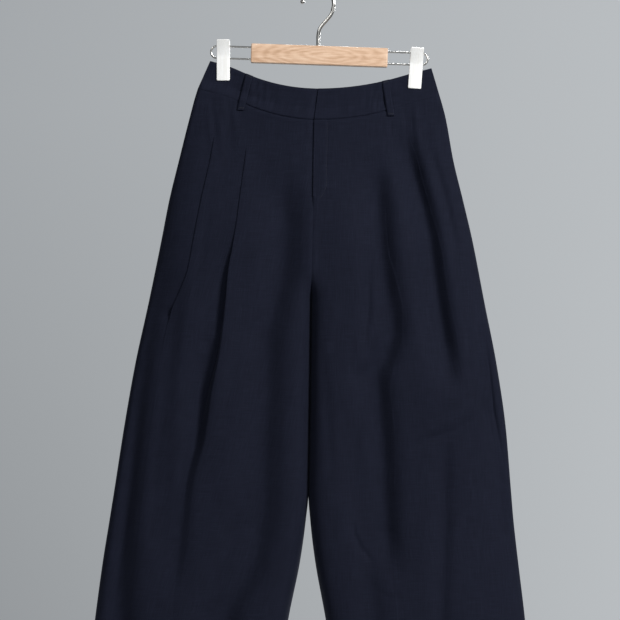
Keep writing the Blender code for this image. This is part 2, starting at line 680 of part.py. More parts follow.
def make_hook(metal):
    """The hook and the ball on its tip are one body."""
    places = hook_places()
    hook = add_wire("hanger_hook_wire", places, HOOK_RADIUS, metal)
    graph = bpy.context.evaluated_depsgraph_get()
    mesh = bpy.data.meshes.new_from_object(hook.evaluated_get(graph))
    bpy.data.objects.remove(hook)
    work = bmesh.new()
    work.from_mesh(mesh)
    bmesh.ops.remove_doubles(work, verts=work.verts, dist=1e-6)
    bmesh.ops.recalc_face_normals(work, faces=work.faces)
    work.to_mesh(mesh)
    work.free()
    body = bpy.data.objects.new("hanger_hook", mesh)
    bpy.context.scene.collection.objects.link(body)
    ball = bpy.data.meshes.new("hook_tip")
    work = bmesh.new()
    bmesh.ops.create_uvsphere(work, u_segments=14, v_segments=9, radius=HOOK_TIP_RADIUS)
    work.to_mesh(ball)
    work.free()
    tip = bpy.data.objects.new("hook_tip", ball)
    tip.location = (places[0][0], 0.0, -places[0][1])
    tip.hide_render = True
    tip.display_type = "WIRE"
    bpy.context.scene.collection.objects.link(tip)
    join = body.modifiers.new("tip", "BOOLEAN")
    join.operation = "UNION"
    join.object = tip
    mesh.shade_smooth()


def add_bar(wood):
    mesh = bpy.data.meshes.new("hanger_bar")
    work = bmesh.new()
    bmesh.ops.create_cube(work, size=1.0)
    bmesh.ops.scale(work, vec=(BAR_LENGTH, BAR_DEPTH, BAR_HEIGHT), verts=work.verts)
    work.to_mesh(mesh)
    work.free()
    mesh.materials.append(wood)
    bar = bpy.data.objects.new("hanger_bar", mesh)
    bar.location = (BAR_CENTRE[0], 0.0, -BAR_CENTRE[1])
    bar.rotation_euler = (0.0, HANGER_TILT, 0.0)
    bpy.context.scene.collection.objects.link(bar)
    rounding = bar.modifiers.new("rounding", "BEVEL")
    rounding.width = BAR_ROUNDING
    rounding.segments = 2


def jaw_outline():
    """Side view of a jaw, (out, up) from the clip's middle: straight where it grips the
    cloth and passes the rails, and flared at the top where fingers press it."""
    low, high = -0.5 * JAW_HEIGHT, 0.5 * JAW_HEIGHT
    bend = low + (1.0 - JAW_BEND) * JAW_HEIGHT
    height = np.array([low, low + 0.5 * (bend - low), bend, bend + 0.35 * (high - bend), high])
    flare = JAW_FLARE * (np.clip(height - bend, 0.0, None) / (high - bend)) ** 1.3
    inside = [(JAW_GRIP + f, h) for f, h in zip(flare, height)]
    outside = [(JAW_GRIP + JAW_PLATE + f, h) for f, h in zip(flare, height)]
    return inside + outside[::-1]


def add_jaw(side, face, metal):
    """A jaw is its outline drawn out to its width."""
    x, drop, lean = CLIPS[side]
    name = f"clip_{side}_{face}_jaw"
    mesh = bpy.data.meshes.new(name)
    work = bmesh.new()
    verts = [work.verts.new((-0.5 * JAW_WIDTH, FACES[face] * out, up)) for out, up in jaw_outline()]
    profile = work.faces.new(verts)
    grown = bmesh.ops.extrude_face_region(work, geom=[profile])["geom"]
    moved = [v for v in grown if isinstance(v, bmesh.types.BMVert)]
    bmesh.ops.translate(work, vec=(JAW_WIDTH, 0.0, 0.0), verts=moved)
    bmesh.ops.recalc_face_normals(work, faces=work.faces)
    work.to_mesh(mesh)
    work.free()
    mesh.materials.append(metal)
    jaw = bpy.data.objects.new(name, mesh)
    jaw.location = (x, 0.0, -drop)
    jaw.rotation_euler = (0.0, lean, 0.0)
    bpy.context.scene.collection.objects.link(jaw)
    rounding = jaw.modifiers.new("rounding", "BEVEL")
    rounding.width = 0.0005
    rounding.segments = 1
    rounding.limit_method = "ANGLE"
    rounding.angle_limit = math.radians(60.0)


def add_core(side, metal):
    """The spring housing of a clip: a block between the two rails, behind its front jaw."""
    name = f"clip_{side}_core"
    mesh = bpy.data.meshes.new(name)
    work = bmesh.new()
    bmesh.ops.create_cube(work, size=1.0)
    height = RAIL_SPACING - 2.0 * RAIL_RADIUS - 2.0 * SEAM_GAP
    depth = 2.0 * (JAW_GRIP - SEAM_GAP)
    bmesh.ops.scale(work, vec=(CORE_WIDTH, depth, height), verts=work.verts)
    work.to_mesh(mesh)
    work.free()
    mesh.materials.append(metal)
    along = (CLIPS[side][0] - BAR_CENTRE[0]) / math.cos(HANGER_TILT)
    x, drop = tilted(along, 0.0)
    core = bpy.data.objects.new(name, mesh)
    core.location = (x, 0.0, -drop)
    core.rotation_euler = (0.0, HANGER_TILT, 0.0)
    bpy.context.scene.collection.objects.link(core)


def make_hanger(wood, chrome, satin):
    add_bar(wood)
    make_hook(chrome)
    for side, sign in SIDES.items():
        add_wire(f"hanger_rail_{side}", rail_places(sign), RAIL_RADIUS, chrome)
        add_core(side, chrome)
        for face in FACES:
            add_jaw(side, face, satin)


clear_scene()
make_trousers(material("navy_linen", (0.014, 0.017, 0.031), 0.85, 0.0))
make_hanger(
    material("beech", (0.72, 0.48, 0.30), 0.5, 0.0),
    material("chrome_wire", (0.62, 0.60, 0.57), 0.22, 1.0),
    material("satin_clip", (0.88, 0.87, 0.84), 0.35, 0.6),
)
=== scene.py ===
"""Wide-leg linen trousers on a wooden clip hanger, dressed for rendering.

Metres, +Z up. The origin is the inside of the top of the hanger's hook, and the front
faces -Y. Right and left are the wearer's. Heights are drops below the origin.
"""

import math

import bpy
import numpy as np
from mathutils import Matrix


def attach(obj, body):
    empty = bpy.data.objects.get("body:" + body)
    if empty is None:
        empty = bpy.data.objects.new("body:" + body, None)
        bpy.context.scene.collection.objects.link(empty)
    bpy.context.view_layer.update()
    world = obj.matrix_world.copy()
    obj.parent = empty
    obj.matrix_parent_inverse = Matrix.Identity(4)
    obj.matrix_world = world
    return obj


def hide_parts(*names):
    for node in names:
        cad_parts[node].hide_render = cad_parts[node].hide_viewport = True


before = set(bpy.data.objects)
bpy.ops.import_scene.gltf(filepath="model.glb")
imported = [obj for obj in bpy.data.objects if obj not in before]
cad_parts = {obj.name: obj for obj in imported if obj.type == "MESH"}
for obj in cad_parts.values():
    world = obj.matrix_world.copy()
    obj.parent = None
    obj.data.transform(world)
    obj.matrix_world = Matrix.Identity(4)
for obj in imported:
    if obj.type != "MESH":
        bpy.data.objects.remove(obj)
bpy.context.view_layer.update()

# Cloth sizes, as in the solids
WALL = 0.0015
SEAM_GAP = 0.0003
HEM_DROP = 1.150
CROTCH_DROP = 0.500
CROTCH_CURVE = 0.056
FLY_END = 0.332
FLY_UNDERLAP = 0.012
FLY_STEP = WALL + 0.0005
# The fly edges of the right front and the left front, from the centre line.
FLY_EDGE = {"right": -FLY_UNDERLAP, "left": -0.0006}

# The shown cloth is thinner than the solids' walls, with the same outer face.
CLOTH = 0.0007
PROUD = 0.5 * (WALL - CLOTH)
# Front and back run this far past each other at their seams, so that no light shows between.
SEAM_LAP = {"side": 0.00030, "inseam": 0.00075}
# The panels' top edges lie this far up behind the waistband, and this far in from it.
WAIST_TUCK = {"height": 0.00070, "depth": 0.00045}

CLIP_INNER = 0.140
CLIP_EASE = 0.018
CLIPPED_FROM = 0.136
WAIST_TOP = {"centre": 0.1586, "right": 0.0365, "left": 0.0226}
WAIST_SEAM = {"centre": 0.2088, "right": 0.0371, "left": 0.0255}
WAIST_END_SLOPE = 0.26
WAIST_OPENING = {"front": 0.010, "back": 0.009}
BACK_WAIST_LOWER = 0.0012
CLIP_GRIP = 0.0300
CLIP_FLARE = 0.0052

SIDES = {"right": -1.0, "left": 1.0}
FACES = {"front": -1.0, "back": 1.0}

# The trousers at each drop: how far the side seams, the centre line and the legs' inner edges
# are out, and the depth of the front and the back.
SECTION_COLUMNS = ("drop", "right", "left", "centre", "leg_gap", "front", "back")
SECTIONS = (
    (0.110, 0.1710, 0.1770, 0.0040, 0.0000, 0.012, 0.011),
    (0.160, 0.1930, 0.1920, 0.0012, 0.0000, 0.014, 0.013),
    (0.205, 0.2056, 0.2044, -0.0050, 0.0000, 0.018, 0.015),
    (0.272, 0.2224, 0.2165, -0.0066, 0.0000, 0.025, 0.020),
    (0.336, 0.2380, 0.2320, -0.0075, 0.0000, 0.031, 0.025),
    (0.400, 0.2505, 0.2470, -0.0090, 0.0000, 0.035, 0.028),
    (0.500, 0.2710, 0.2664, -0.0110, 0.0000, 0.038, 0.031),
    (0.600, 0.2928, 0.2860, -0.0122, 0.0000, 0.040, 0.032),
    (0.700, 0.3104, 0.3005, -0.0136, 0.0000, 0.041, 0.033),
    (0.800, 0.3260, 0.3088, -0.0152, 0.0000, 0.041, 0.033),
    (0.850, 0.3340, 0.3130, -0.0160, 0.0040, 0.041, 0.033),
    (0.912, 0.3440, 0.3200, -0.0166, 0.0120, 0.041, 0.034),
    (1.006, 0.3568, 0.3312, -0.0176, 0.0300, 0.041, 0.035),
    (1.150, 0.3740, 0.3450, -0.0180, 0.0520, 0.042, 0.036),
)
SIDE_ROUNDNESS = 2.5
CENTRE_ROUNDNESS = 13.0

# Knife pleats. Above slit_top each is sewn shut and shows as a fine line. Below it the fold
# is flat to crisp_to, stands open from open_at, and has gone at fades_at. Each pleat is a
# path of (drop, across) and a row of sizes.
PLEAT_COLUMNS = (
    "slit_top", "slit_ease", "crisp_to", "open_at", "fades_at", "fold", "step", "open_angle",
    "open_radius", "lift", "sewn_line",
)
PLEATS = {
    "right": (
        (
            (
                (0.190, 0.1100), (0.253, 0.1140), (0.317, 0.1220), (0.365, 0.1280),
                (0.413, 0.1355), (0.448, 0.1420), (0.500, 0.1470), (0.574, 0.1560),
                (0.645, 0.1710), (0.715, 0.1815), (0.786, 0.1980), (0.880, 0.2080),
                (0.936, 0.2160), (1.150, 0.2300),
            ),
            (0.252, 0.034, 0.375, 0.555, 0.860, 0.0130, 0.0084, 84.0, 0.0026, 0.0040, 0.00),
        ),
        (
            (
                (0.160, 0.1530), (0.237, 0.1655), (0.275, 0.1720), (0.330, 0.1840),
                (0.389, 0.1955), (0.448, 0.2065), (0.472, 0.2150), (0.514, 0.2330),
                (0.600, 0.2520), (1.150, 0.3150),
            ),
            (0.232, 0.034, 0.500, 0.536, 0.580, 0.0036, 0.0010, 24.0, 0.0020, 0.0007, 0.00),
        ),
    ),
    "left": (
        (
            (
                (0.190, 0.1000), (0.280, 0.1060), (0.365, 0.1075), (0.416, 0.1110),
                (0.464, 0.1240), (0.514, 0.1340), (0.552, 0.1340), (0.600, 0.1210),
                (0.632, 0.1140), (0.674, 0.1180), (0.740, 0.1220), (0.810, 0.1210),
                (1.150, 0.1300),
            ),
            (0.320, 0.140, 0.200, 0.300, 0.640, 0.0060, 0.0014, 18.0, 0.0044, 0.0006, 0.30),
        ),
        (
            (
                (0.170, 0.1380), (0.240, 0.1470), (0.263, 0.1560), (0.310, 0.1680),
                (0.353, 0.1800), (0.424, 0.1980), (0.484, 0.2060), (0.552, 0.2200),
                (0.613, 0.2290), (1.150, 0.2700),
            ),
            (0.222, 0.090, 0.120, 0.200, 0.560, 0.0030, 0.0008, 18.0, 0.0040, 0.0007, 0.12),
        ),
    ),
}
FOLD_RADIUS = {"flat": 0.00044, "faded": 0.0110}
FADED_ANGLE = math.radians(6.0)
LIFT_REACH = 0.030
SEWN = {"angle": 0.42 * math.pi, "radius": 0.00030, "length": 0.00020}

# Soft troughs down the legs: path of (drop, across), depth, and half width on the centre side
# and on the other.
TROUGHS = {
    ("front", "right"): (
        (((0.270, 0.056), (0.306, 0.057), (0.365, 0.056), (0.440, 0.058), (0.513, 0.074),
          (0.552, 0.083), (0.622, 0.083), (0.715, 0.087), (0.790, 0.088), (0.904, 0.103),
          (1.000, 0.148), (1.150, 0.162)), 0.0150, 0.0170, 0.0210),
        (((0.420, 0.250), (0.528, 0.282), (0.650, 0.296), (0.763, 0.304), (0.856, 0.312),
          (0.950, 0.316), (1.150, 0.310)), 0.0135, 0.0150, 0.0170),
        (((0.780, 0.120), (0.900, 0.143), (1.000, 0.180), (1.150, 0.196)), 0.0060, 0.0120, 0.0160),
        (((0.520, 0.172), (0.645, 0.184), (0.715, 0.194), (0.786, 0.212), (0.880, 0.222),
          (0.980, 0.232)), 0.0085, 0.0100, 0.0180),
        (((0.440, 0.222), (0.560, 0.234), (0.680, 0.240), (0.800, 0.246), (0.930, 0.254)),
         0.0050, 0.0110, 0.0150),
    ),
    ("front", "left"): (
        (((0.500, 0.266), (0.650, 0.281), (0.760, 0.295), (0.900, 0.302)), 0.0120, 0.0120, 0.0070),
        (((0.250, 0.0925), (0.300, 0.0935), (0.365, 0.0955), (0.448, 0.1030), (0.514, 0.1130),
          (0.546, 0.1165), (0.585, 0.1070), (0.617, 0.0920), (0.669, 0.0950), (0.739, 0.1010),
          (0.816, 0.1040), (0.960, 0.1150)), 0.0176, 0.0200, 0.0135),
        (((0.205, 0.1340), (0.256, 0.1430), (0.310, 0.1555), (0.352, 0.1665), (0.406, 0.1770),
          (0.474, 0.1860), (0.534, 0.1950), (0.598, 0.2050), (0.658, 0.2150)),
         0.0205, 0.0170, 0.0115),
        (((0.680, 0.200), (0.860, 0.199), (1.000, 0.195), (1.150, 0.199)), 0.0060, 0.0130, 0.0080),
        (((0.640, 0.048), (0.780, 0.060), (0.950, 0.082), (1.150, 0.110)), 0.0060, 0.0160, 0.0130),
        (((0.390, 0.0800), (0.500, 0.0790), (0.600, 0.0700)), 0.0070, 0.0070, 0.0050),
        (((0.210, 0.165), (0.300, 0.192), (0.380, 0.212), (0.480, 0.226)), 0.0040, 0.0080, 0.0060),
    ),
    ("back", "right"): (
        (((0.300, 0.070), (0.500, 0.092), (0.800, 0.118), (1.150, 0.128)), 0.0100, 0.0150, 0.0190),
        (((0.360, 0.168), (0.620, 0.206), (0.900, 0.226), (1.150, 0.240)), 0.0115, 0.0190, 0.0150),
        (((0.620, 0.262), (0.850, 0.294), (1.150, 0.318)), 0.0065, 0.0110, 0.0130),
    ),
    ("back", "left"): (
        (((0.330, 0.052), (0.520, 0.076), (0.820, 0.094), (1.150, 0.104)), 0.0090, 0.0150, 0.0170),
        (((0.280, 0.150), (0.560, 0.180), (0.860, 0.196), (1.150, 0.200)), 0.0110, 0.0200, 0.0150),
        (((0.560, 0.240), (0.800, 0.262), (1.150, 0.284)), 0.0075, 0.0120, 0.0140),
    ),
}
TROUGH_FADE = 0.100
EDGE_FADE = 0.10

# Single creases: (across, drop) points from end to end, depth in (minus stands out) and half width.
CREASES = {
    ("front", "right"): (
        (((0.162, 0.300), (0.172, 0.420), (0.196, 0.560)), 0.0012, 0.0075),
        (((0.232, 0.640), (0.243, 0.760), (0.247, 0.900)), 0.0016, 0.0095),
        (((0.198, 0.700), (0.214, 0.800)), -0.0010, 0.0060),
        (((0.050, 0.640), (0.118, 0.668)), 0.0006, 0.0050),
        (((0.118, 0.742), (0.172, 0.726)), 0.0006, 0.0048),
        (((0.250, 0.560), (0.276, 0.580)), 0.0005, 0.0040),
        (((0.060, 0.880), (0.098, 0.852), (0.130, 0.848)), 0.0006, 0.0050),
    ),
    ("front", "left"): (
        (((0.071, 0.846), (0.074, 0.868), (0.084, 0.890), (0.104, 0.912)), 0.0036, 0.0044),
        (((0.2769, 0.516), (0.2789, 0.552), (0.2932, 0.674), (0.3124, 0.765)), 0.0030, 0.0030),
        (((0.2730, 0.640), (0.2810, 0.683), (0.2900, 0.722)), 0.0055, 0.0085),
        (((0.106, 0.862), (0.120, 0.868), (0.136, 0.858)), 0.0010, 0.0040),
        (((0.160, 0.735), (0.190, 0.716), (0.228, 0.704), (0.262, 0.680)), 0.0030, 0.0068),
        (((0.170, 0.714), (0.206, 0.690), (0.246, 0.674)), -0.0020, 0.0066),
        (((0.060, 0.560), (0.078, 0.640), (0.074, 0.760)), 0.0012, 0.0090),
        (((0.172, 0.400), (0.178, 0.500), (0.186, 0.580)), 0.0014, 0.0080),
        (((0.246, 0.520), (0.258, 0.640)), 0.0012, 0.0070),
        (((0.018, 0.560), (0.030, 0.700), (0.038, 0.800)), 0.0016, 0.0085),
        (((0.094, 0.940), (0.130, 0.968), (0.158, 0.972)), 0.0007, 0.0050),
    ),
    ("back", "right"): (
        (((0.040, 0.560), (0.090, 0.600), (0.140, 0.604)), 0.0009, 0.0062),
        (((0.150, 0.470), (0.158, 0.600), (0.150, 0.720)), 0.0015, 0.0090),
        (((0.112, 0.760), (0.150, 0.742), (0.182, 0.748)), 0.0009, 0.0056),
        (((0.250, 0.420), (0.262, 0.540)), 0.0012, 0.0070),
    ),
    ("back", "left"): (
        (((0.030, 0.540), (0.074, 0.566), (0.110, 0.560)), 0.0009, 0.0060),
        (((0.130, 0.640), (0.142, 0.780), (0.136, 0.860)), 0.0014, 0.0090),
        (((0.150, 0.820), (0.186, 0.806), (0.226, 0.816)), 0.0008, 0.0056),
        (((0.222, 0.440), (0.236, 0.600)), 0.0012, 0.0070),
    ),
}

FLY_STITCH = {"across": 0.0205, "begin": 0.2120, "end": 0.338, "corner": 0.030}
HEM_TOP = HEM_DROP - 0.030
HEM_STITCH = HEM_TOP + 0.0012
# Runs of stitches: the pitch, and the length and radius of a stitch.
STITCHES = {
    "fly": (0.0030, 0.0023, 0.00019),
    "hem": (0.0032, 0.0024, 0.00024),
    "tack": (0.0011, 0.0010, 0.00022),
}
# The bars of stitches at a belt loop's ends: the share down the loop, and their rows' heights.
LOOP_TACKS = (0.055, 0.945)
TACK_ROWS = (-0.0007, 0.0, 0.0007)

LOOP_WIDTH = 0.0110
LOOP_LENGTH = 0.0565
LOOP_WALL = 0.0013
LOOP_BULGE = 0.0024
LOOP_FOOT = 0.0011
# Each loop's face, its place along the waist, and how far its foot is from under its top.
BELT_LOOPS = {
    "belt_loop_front_right": ("front", -0.1093, -0.0140),
    "belt_loop_front_left": ("front", 0.1079, 0.0088),
    "belt_loop_back_right": ("back", -0.1060, -0.0110),
    "belt_loop_back_centre": ("back", 0.0000, 0.0000),
    "belt_loop_back_left": ("back", 0.1060, 0.0070),
}

# Hanger sizes
HANGER_TILT = math.radians(2.0)
BAR_CENTRE = (0.0021, 0.1050)
BAR_LENGTH = 0.2186
BAR_HEIGHT = 0.0305
BAR_DEPTH = 0.0140
BAR_ROUNDING = 0.0018
RAIL_RADIUS = 0.0015
RAIL_SPACING = 0.0192
RAIL_REACH = 0.1735
HOOK_RADIUS = 0.0029
HOOK_BEND = 0.0250
HOOK_TIP_RADIUS = 0.0036
HOOK_ARC = (172.0, -15.0)
# The neck below the arc, as (x, drop).
HOOK_NECK = (
    (0.0228, 0.0350), (0.0203, 0.0403), (0.0165, 0.0451), (0.0125, 0.0499), (0.0080, 0.0547),
    (0.0042, 0.0597), (0.0018, 0.0645), (0.0006, 0.0700), (0.0000, 0.0760),
)
JAW_WIDTH = 0.0210
JAW_HEIGHT = 0.0652
JAW_PLATE = 0.0020
JAW_GRIP = WALL + 0.00045
JAW_FLARE = 0.0062
JAW_BEND = 0.40
JAW_CORNER = 0.0018
JAW_EDGE = 0.0006
CORE_WIDTH = 0.0150
CORE_ROUNDING = 0.0008
CORE_GROOVES = 5.0
CORE_GROOVE_DEPTH = 0.00035
# Each clip's x, drop and lean.
CLIPS = {"right": (-0.1515, 0.1126, 0.0), "left": (0.1566, 0.1254, math.radians(4.1))}

# Camera, lights and floor. A light is a disc: name, place, target, size across and watts.
CAMERA = {"place": (-0.0128, -3.2, -0.512), "lens": 116.1, "sensor": 36.0}
LIGHTS = (
    ("key", (2.3, -2.4, 1.1), (0.0, 0.0, -0.5), 1.0, 138.0),
    ("fill", (-1.7, -2.4, 1.6), (0.0, 0.0, -0.6), 1.2, 22.0),
    ("back", (0.6, 2.4, 0.9), (0.0, 0.0, -0.5), 1.6, 130.0),
)
FLOOR = {"radius": 0.9, "height": -1.25, "lip": 0.004}


def smoothstep(value):
    """0 below 0, 1 above 1, and 3v^2 - 2v^3 between."""
    v = np.clip(value, 0.0, 1.0)
    return v * v * (3.0 - 2.0 * v)


def bell(value, width):
    """1 at 0, falling away to both sides."""
    return np.exp(-((value / width) ** 2))


def crowded_shares(count):
    """Shares from 0 to 1, closer together towards both ends."""
    return 0.5 - 0.5 * np.cos(np.linspace(0.0, math.pi, count))


def through(value, knots, heights):
    """A smooth curve through the knots that never overshoots them: cubic pieces whose
    slope at a knot is the harmonic mean of its two chords, or 0 where they change sign."""
    knots = np.asarray(knots, float)
    heights = np.asarray(heights, float)
    step = np.diff(knots)
    chord = np.diff(heights) / step
    slope = np.zeros_like(heights)
    same = chord[1:] * chord[:-1] > 0.0
    both = np.where(same, chord[1:] + chord[:-1], 1.0)
    slope[1:-1] = np.where(same, 2.0 * chord[1:] * chord[:-1] / both, 0.0)
    slope[0] = chord[0]
    slope[-1] = chord[-1]
    value = np.clip(value, knots[0], knots[-1])
    k = np.clip(np.searchsorted(knots, value, side="right") - 1, 0, len(knots) - 2)
    t = (value - knots[k]) / step[k]
    rise = t * t * (3.0 - 2.0 * t)
    return (
        heights[k] * (1.0 - rise)
        + heights[k + 1] * rise
        + step[k] * (slope[k] * t * (1.0 - t) ** 2 - slope[k + 1] * t * t * (1.0 - t))
    )


def section(column, drop):
    """A column of SECTIONS at any drop."""
    columns = dict(zip(SECTION_COLUMNS, zip(*SECTIONS)))
    return through(drop, columns["drop"], columns[column])


def waist_line(x, line):
    """Drop of a waist line at x: a parabola between the clips and straight beyond them, with
    the corner between the two eased over CLIP_EASE to each side of it."""
    rise = np.where(x < 0.0, line["right"], line["left"])
    past = np.abs(x) - CLIP_INNER
    eased = np.clip(past + CLIP_EASE, 0.0, None) ** 2 / (4.0 * CLIP_EASE)
    beyond = np.where(past < CLIP_EASE, eased, past)
    between = np.abs(x) - beyond
    return line["centre"] - rise * (between / CLIP_INNER) ** 2 - WAIST_END_SLOPE * beyond


def centre_share(drop):
    """How much of its full depth the cloth keeps at the centre seam: all of it above the
    crotch curve, then down a quarter of a cosine to nothing at the crotch."""
    fall = np.clip((drop - (CROTCH_DROP - CROTCH_CURVE)) / CROTCH_CURVE, 0.0, 1.0)
    return np.cos(0.5 * math.pi * fall)


def seam_turn(drop):
    """The angle that the wall has turned through at its inner edge, from facing forward
    above the crotch to facing the other leg below it."""
    return 0.5 * math.pi * smoothstep((drop - (CROTCH_DROP - 0.030)) / 0.030)


def inner_edge(drop):
    """Distance of a panel's inner edge from the centre line, to the middle of the wall."""
    turned = np.sin(seam_turn(drop))
    return (0.5 * CLOTH - 0.0003) * turned + section("leg_gap", drop)


def from_centre(distance, drop, side):
    """Distance from the slanting centre line, for one that is measured from x = 0."""
    return distance - SIDES[side] * section("centre", drop)


def outer_edge(drop, side):
    """Distance of a panel's outer edge from the centre line, to the middle of the wall."""
    return from_centre(section(side, drop), drop, side) - 0.5 * CLOTH


def share_across(across, drop, side):
    """How far across a panel a place is, as a share of the panel's width there."""
    inner = inner_edge(drop)
    return (across - inner) / (outer_edge(drop, side) - inner)


def side_x(across, drop, side):
    """The x of a place that is this far from the centre line."""
    return section("centre", drop) + SIDES[side] * across


def base_depth(across, drop, side, face):
    """How far the cloth stands from the middle plane, without its folds. Below the hips it
    is a flattened oval, round at its edges. At the waist it is pinched flat in the clips and
    opens between them, and it flares just under them."""
    inner = inner_edge(drop)
    width = outer_edge(drop, side) - inner
    share = np.clip((across - inner) / width, 0.0, 1.0)
    to_centre = np.clip(1.0 - 2.0 * share, 0.0, 1.0) ** CENTRE_ROUNDNESS
    to_side = np.clip(2.0 * share - 1.0, 0.0, 1.0) ** SIDE_ROUNDNESS
    kept = centre_share(drop)
    at_centre = np.sqrt(kept**2 + (1.0 - kept**2) * (1.0 - to_centre))
    body = section(face, drop) * at_centre * np.sqrt(1.0 - to_side)
    below_top = drop - waist_line(side_x(across, drop, side), WAIST_TOP)
    opening = (1.0 - np.clip(across / CLIPPED_FROM, 0.0, 1.0) ** 2) ** 1.5
    flare = CLIP_FLARE * smoothstep((below_top - CLIP_GRIP) / 0.020)
    waist = 0.5 * WALL + WAIST_OPENING[face] * opening + flare
    from_edge = np.clip((1.0 - share) * width / (1.3 * waist), 0.0, 1.0)
    rounded = np.sqrt(1.0 - (1.0 - from_edge) ** 2)
    waist = waist * rounded
    to_body = np.sin(0.5 * math.pi * np.clip((below_top - 0.034) / 0.250, 0.0, 1.0))
    return waist + (body - waist) * to_body + PROUD * rounded


def trough_depth(across, drop, side, face):
    """The soft troughs of a panel: a bell across each path, with its own width on each side,
    fading in at its top, fading out at its end where that is above the hem, and fading at
    the panel's edges."""
    share = share_across(across, drop, side)
    edge = smoothstep(share / EDGE_FADE) * smoothstep((1.0 - share) / EDGE_FADE)
    total = np.zeros(np.broadcast(across, drop).shape)
    for path, depth, inner_width, outer_width in TROUGHS[face, side]:
        drops, places = zip(*path)
        off = across - from_centre(through(drop, drops, places), drop, side)
        fall = np.exp(-0.5 * (off / np.where(off < 0.0, inner_width, outer_width)) ** 2)
        fade = smoothstep((drop - drops[0]) / TROUGH_FADE)
        if drops[-1] < HEM_DROP:
            fade = fade * smoothstep((drops[-1] - drop) / TROUGH_FADE)
        total = total + depth * fall * fade
    return total * edge


def smooth_noise(u, v, seed):
    """Value noise on a unit lattice: seeded values at the corners, blended between them by
    the smoothstep of each cell's two fractions. Runs from -1 to 1."""
    values = np.random.RandomState(seed).uniform(-1.0, 1.0, (64, 64))
    iu, iv = np.floor(u).astype(int), np.floor(v).astype(int)
    fu, fv = smoothstep(u - iu), smoothstep(v - iv)
    near = values[iu % 64, iv % 64] * (1.0 - fu) + values[(iu + 1) % 64, iv % 64] * fu
    far = values[iu % 64, (iv + 1) % 64] * (1.0 - fu) + values[(iu + 1) % 64, (iv + 1) % 64] * fu
    return near * (1.0 - fv) + far * fv


def rumple(x, drop, seed):
    """Small unevenness of hanging linen, in metres of depth: three layers of noise, long and
    upright, shorter and leaning, and one that lies across, and gathers under the clips."""
    lean = x + 0.22 * drop
    under_clip = bell(np.abs(x) - 0.150, 0.030) * bell(drop - 0.195, 0.055)
    gathers = smooth_noise((x - 0.1 * drop) / 0.0085 + 2.0, drop / 0.060 + 8.0, seed + 7)
    upright = 0.00075 * smooth_noise(x / 0.030 + 9.0, drop / 0.150 + 3.0, seed)
    upright = upright + 0.00170 * under_clip * gathers
    leaning = 0.00030 * smooth_noise(lean / 0.015 + 21.0, drop / 0.062 + 7.0, seed + 1)
    level = 0.00028 * smooth_noise(x / 0.055 + 5.0, (drop - 0.1 * x) / 0.019 + 2.0, seed + 2)
    return upright + leaning + level


def crease_depth(across, drop, side, face):
    """The single creases of a panel: a bell of the distance to each crease's line of straight
    stretches, narrower and shallower towards the line's two ends."""
    total = np.zeros(np.broadcast(across, drop).shape)
    for points, depth, half_width in CREASES[face, side]:
        p = np.asarray(points, float)
        lengths = np.linalg.norm(np.diff(p, axis=0), axis=1)
        ends = np.concatenate([[0.0], np.cumsum(lengths)]) / lengths.sum()
        nearest = np.full(total.shape, 1e9)
        along = np.zeros(total.shape)
        for k in range(len(p) - 1):
            step = p[k + 1] - p[k]
            t = ((across - p[k, 0]) * step[0] + (drop - p[k, 1]) * step[1]) / lengths[k] ** 2
            t = np.clip(t, 0.0, 1.0)
            gap = np.hypot(across - p[k, 0] - t * step[0], drop - p[k, 1] - t * step[1])
            closer = gap < nearest
            nearest = np.where(closer, gap, nearest)
            along = np.where(closer, ends[k] + t * (ends[k + 1] - ends[k]), along)
        taper = np.sin(math.pi * np.clip(along, 0.02, 0.98)) ** 0.7
        total = total + depth * taper * bell(nearest, half_width * (0.6 + 0.4 * taper))
    return total


def fly_share(drop):
    """1 where the right front runs on under the left one, behind the fly, and 0 below it."""
    return smoothstep((FLY_END - drop) / 0.0015)


def fly_step(across, drop, side):
    """How far the right front is set back beside the fly, to pass under the left one."""
    if side == "left":
        return np.zeros(np.broadcast(across, drop).shape)
    beside = 1.0 - smoothstep((across - 0.001) / 0.012)
    return FLY_STEP * beside * smoothstep((FLY_END + 0.022 - drop) / 0.018)


def fly_stitch_across(drop):
    """Distance of the fly's stitching from the centre line: straight down, then a quarter of
    an ellipse in to the centre."""
    curve = FLY_STITCH
    fall = np.clip((drop - (curve["end"] - curve["corner"])) / curve["corner"], 0.0, 1.0)
    return curve["across"] * np.sqrt(1.0 - fall * fall)


def fly_facing(across, drop, side):
    """The left front stands a little proud where the fly's facing lies under it, up to its
    stitching, and is drawn in along the stitches."""
    if side == "right":
        return np.zeros(np.broadcast(across, drop).shape)
    inside = smoothstep((fly_stitch_across(drop) - across) / 0.0030)
    inside = inside * smoothstep((FLY_STITCH["end"] - drop) / 0.004)
    line = bell(across - fly_stitch_across(drop), 0.0016)
    line = line * smoothstep((FLY_STITCH["end"] + 0.002 - drop) / 0.004)
    return 0.00045 * inside - 0.00030 * line


def front_inner_edge(drop, side):
    """The front's inner edge: the fly edge on the left, and the underlap on the right."""
    behind = fly_share(drop)
    return inner_edge(drop) * (1.0 - behind) + FLY_EDGE[side] * behind


def seam_rise(x):
    """How much higher the waist seam is at x than at the centre."""
    return WAIST_SEAM["centre"] - waist_line(x, WAIST_SEAM)


def row_drop(x, row):
    """Drop of a row of the panels at x. The top row follows the waist seam, the rows below
    it follow less and less, and those from the crotch down are level."""
    follow = np.clip((CROTCH_DROP - row) / (CROTCH_DROP - WAIST_SEAM["centre"]), 0.0, 1.0) ** 1.4
    return row - seam_rise(x) * follow


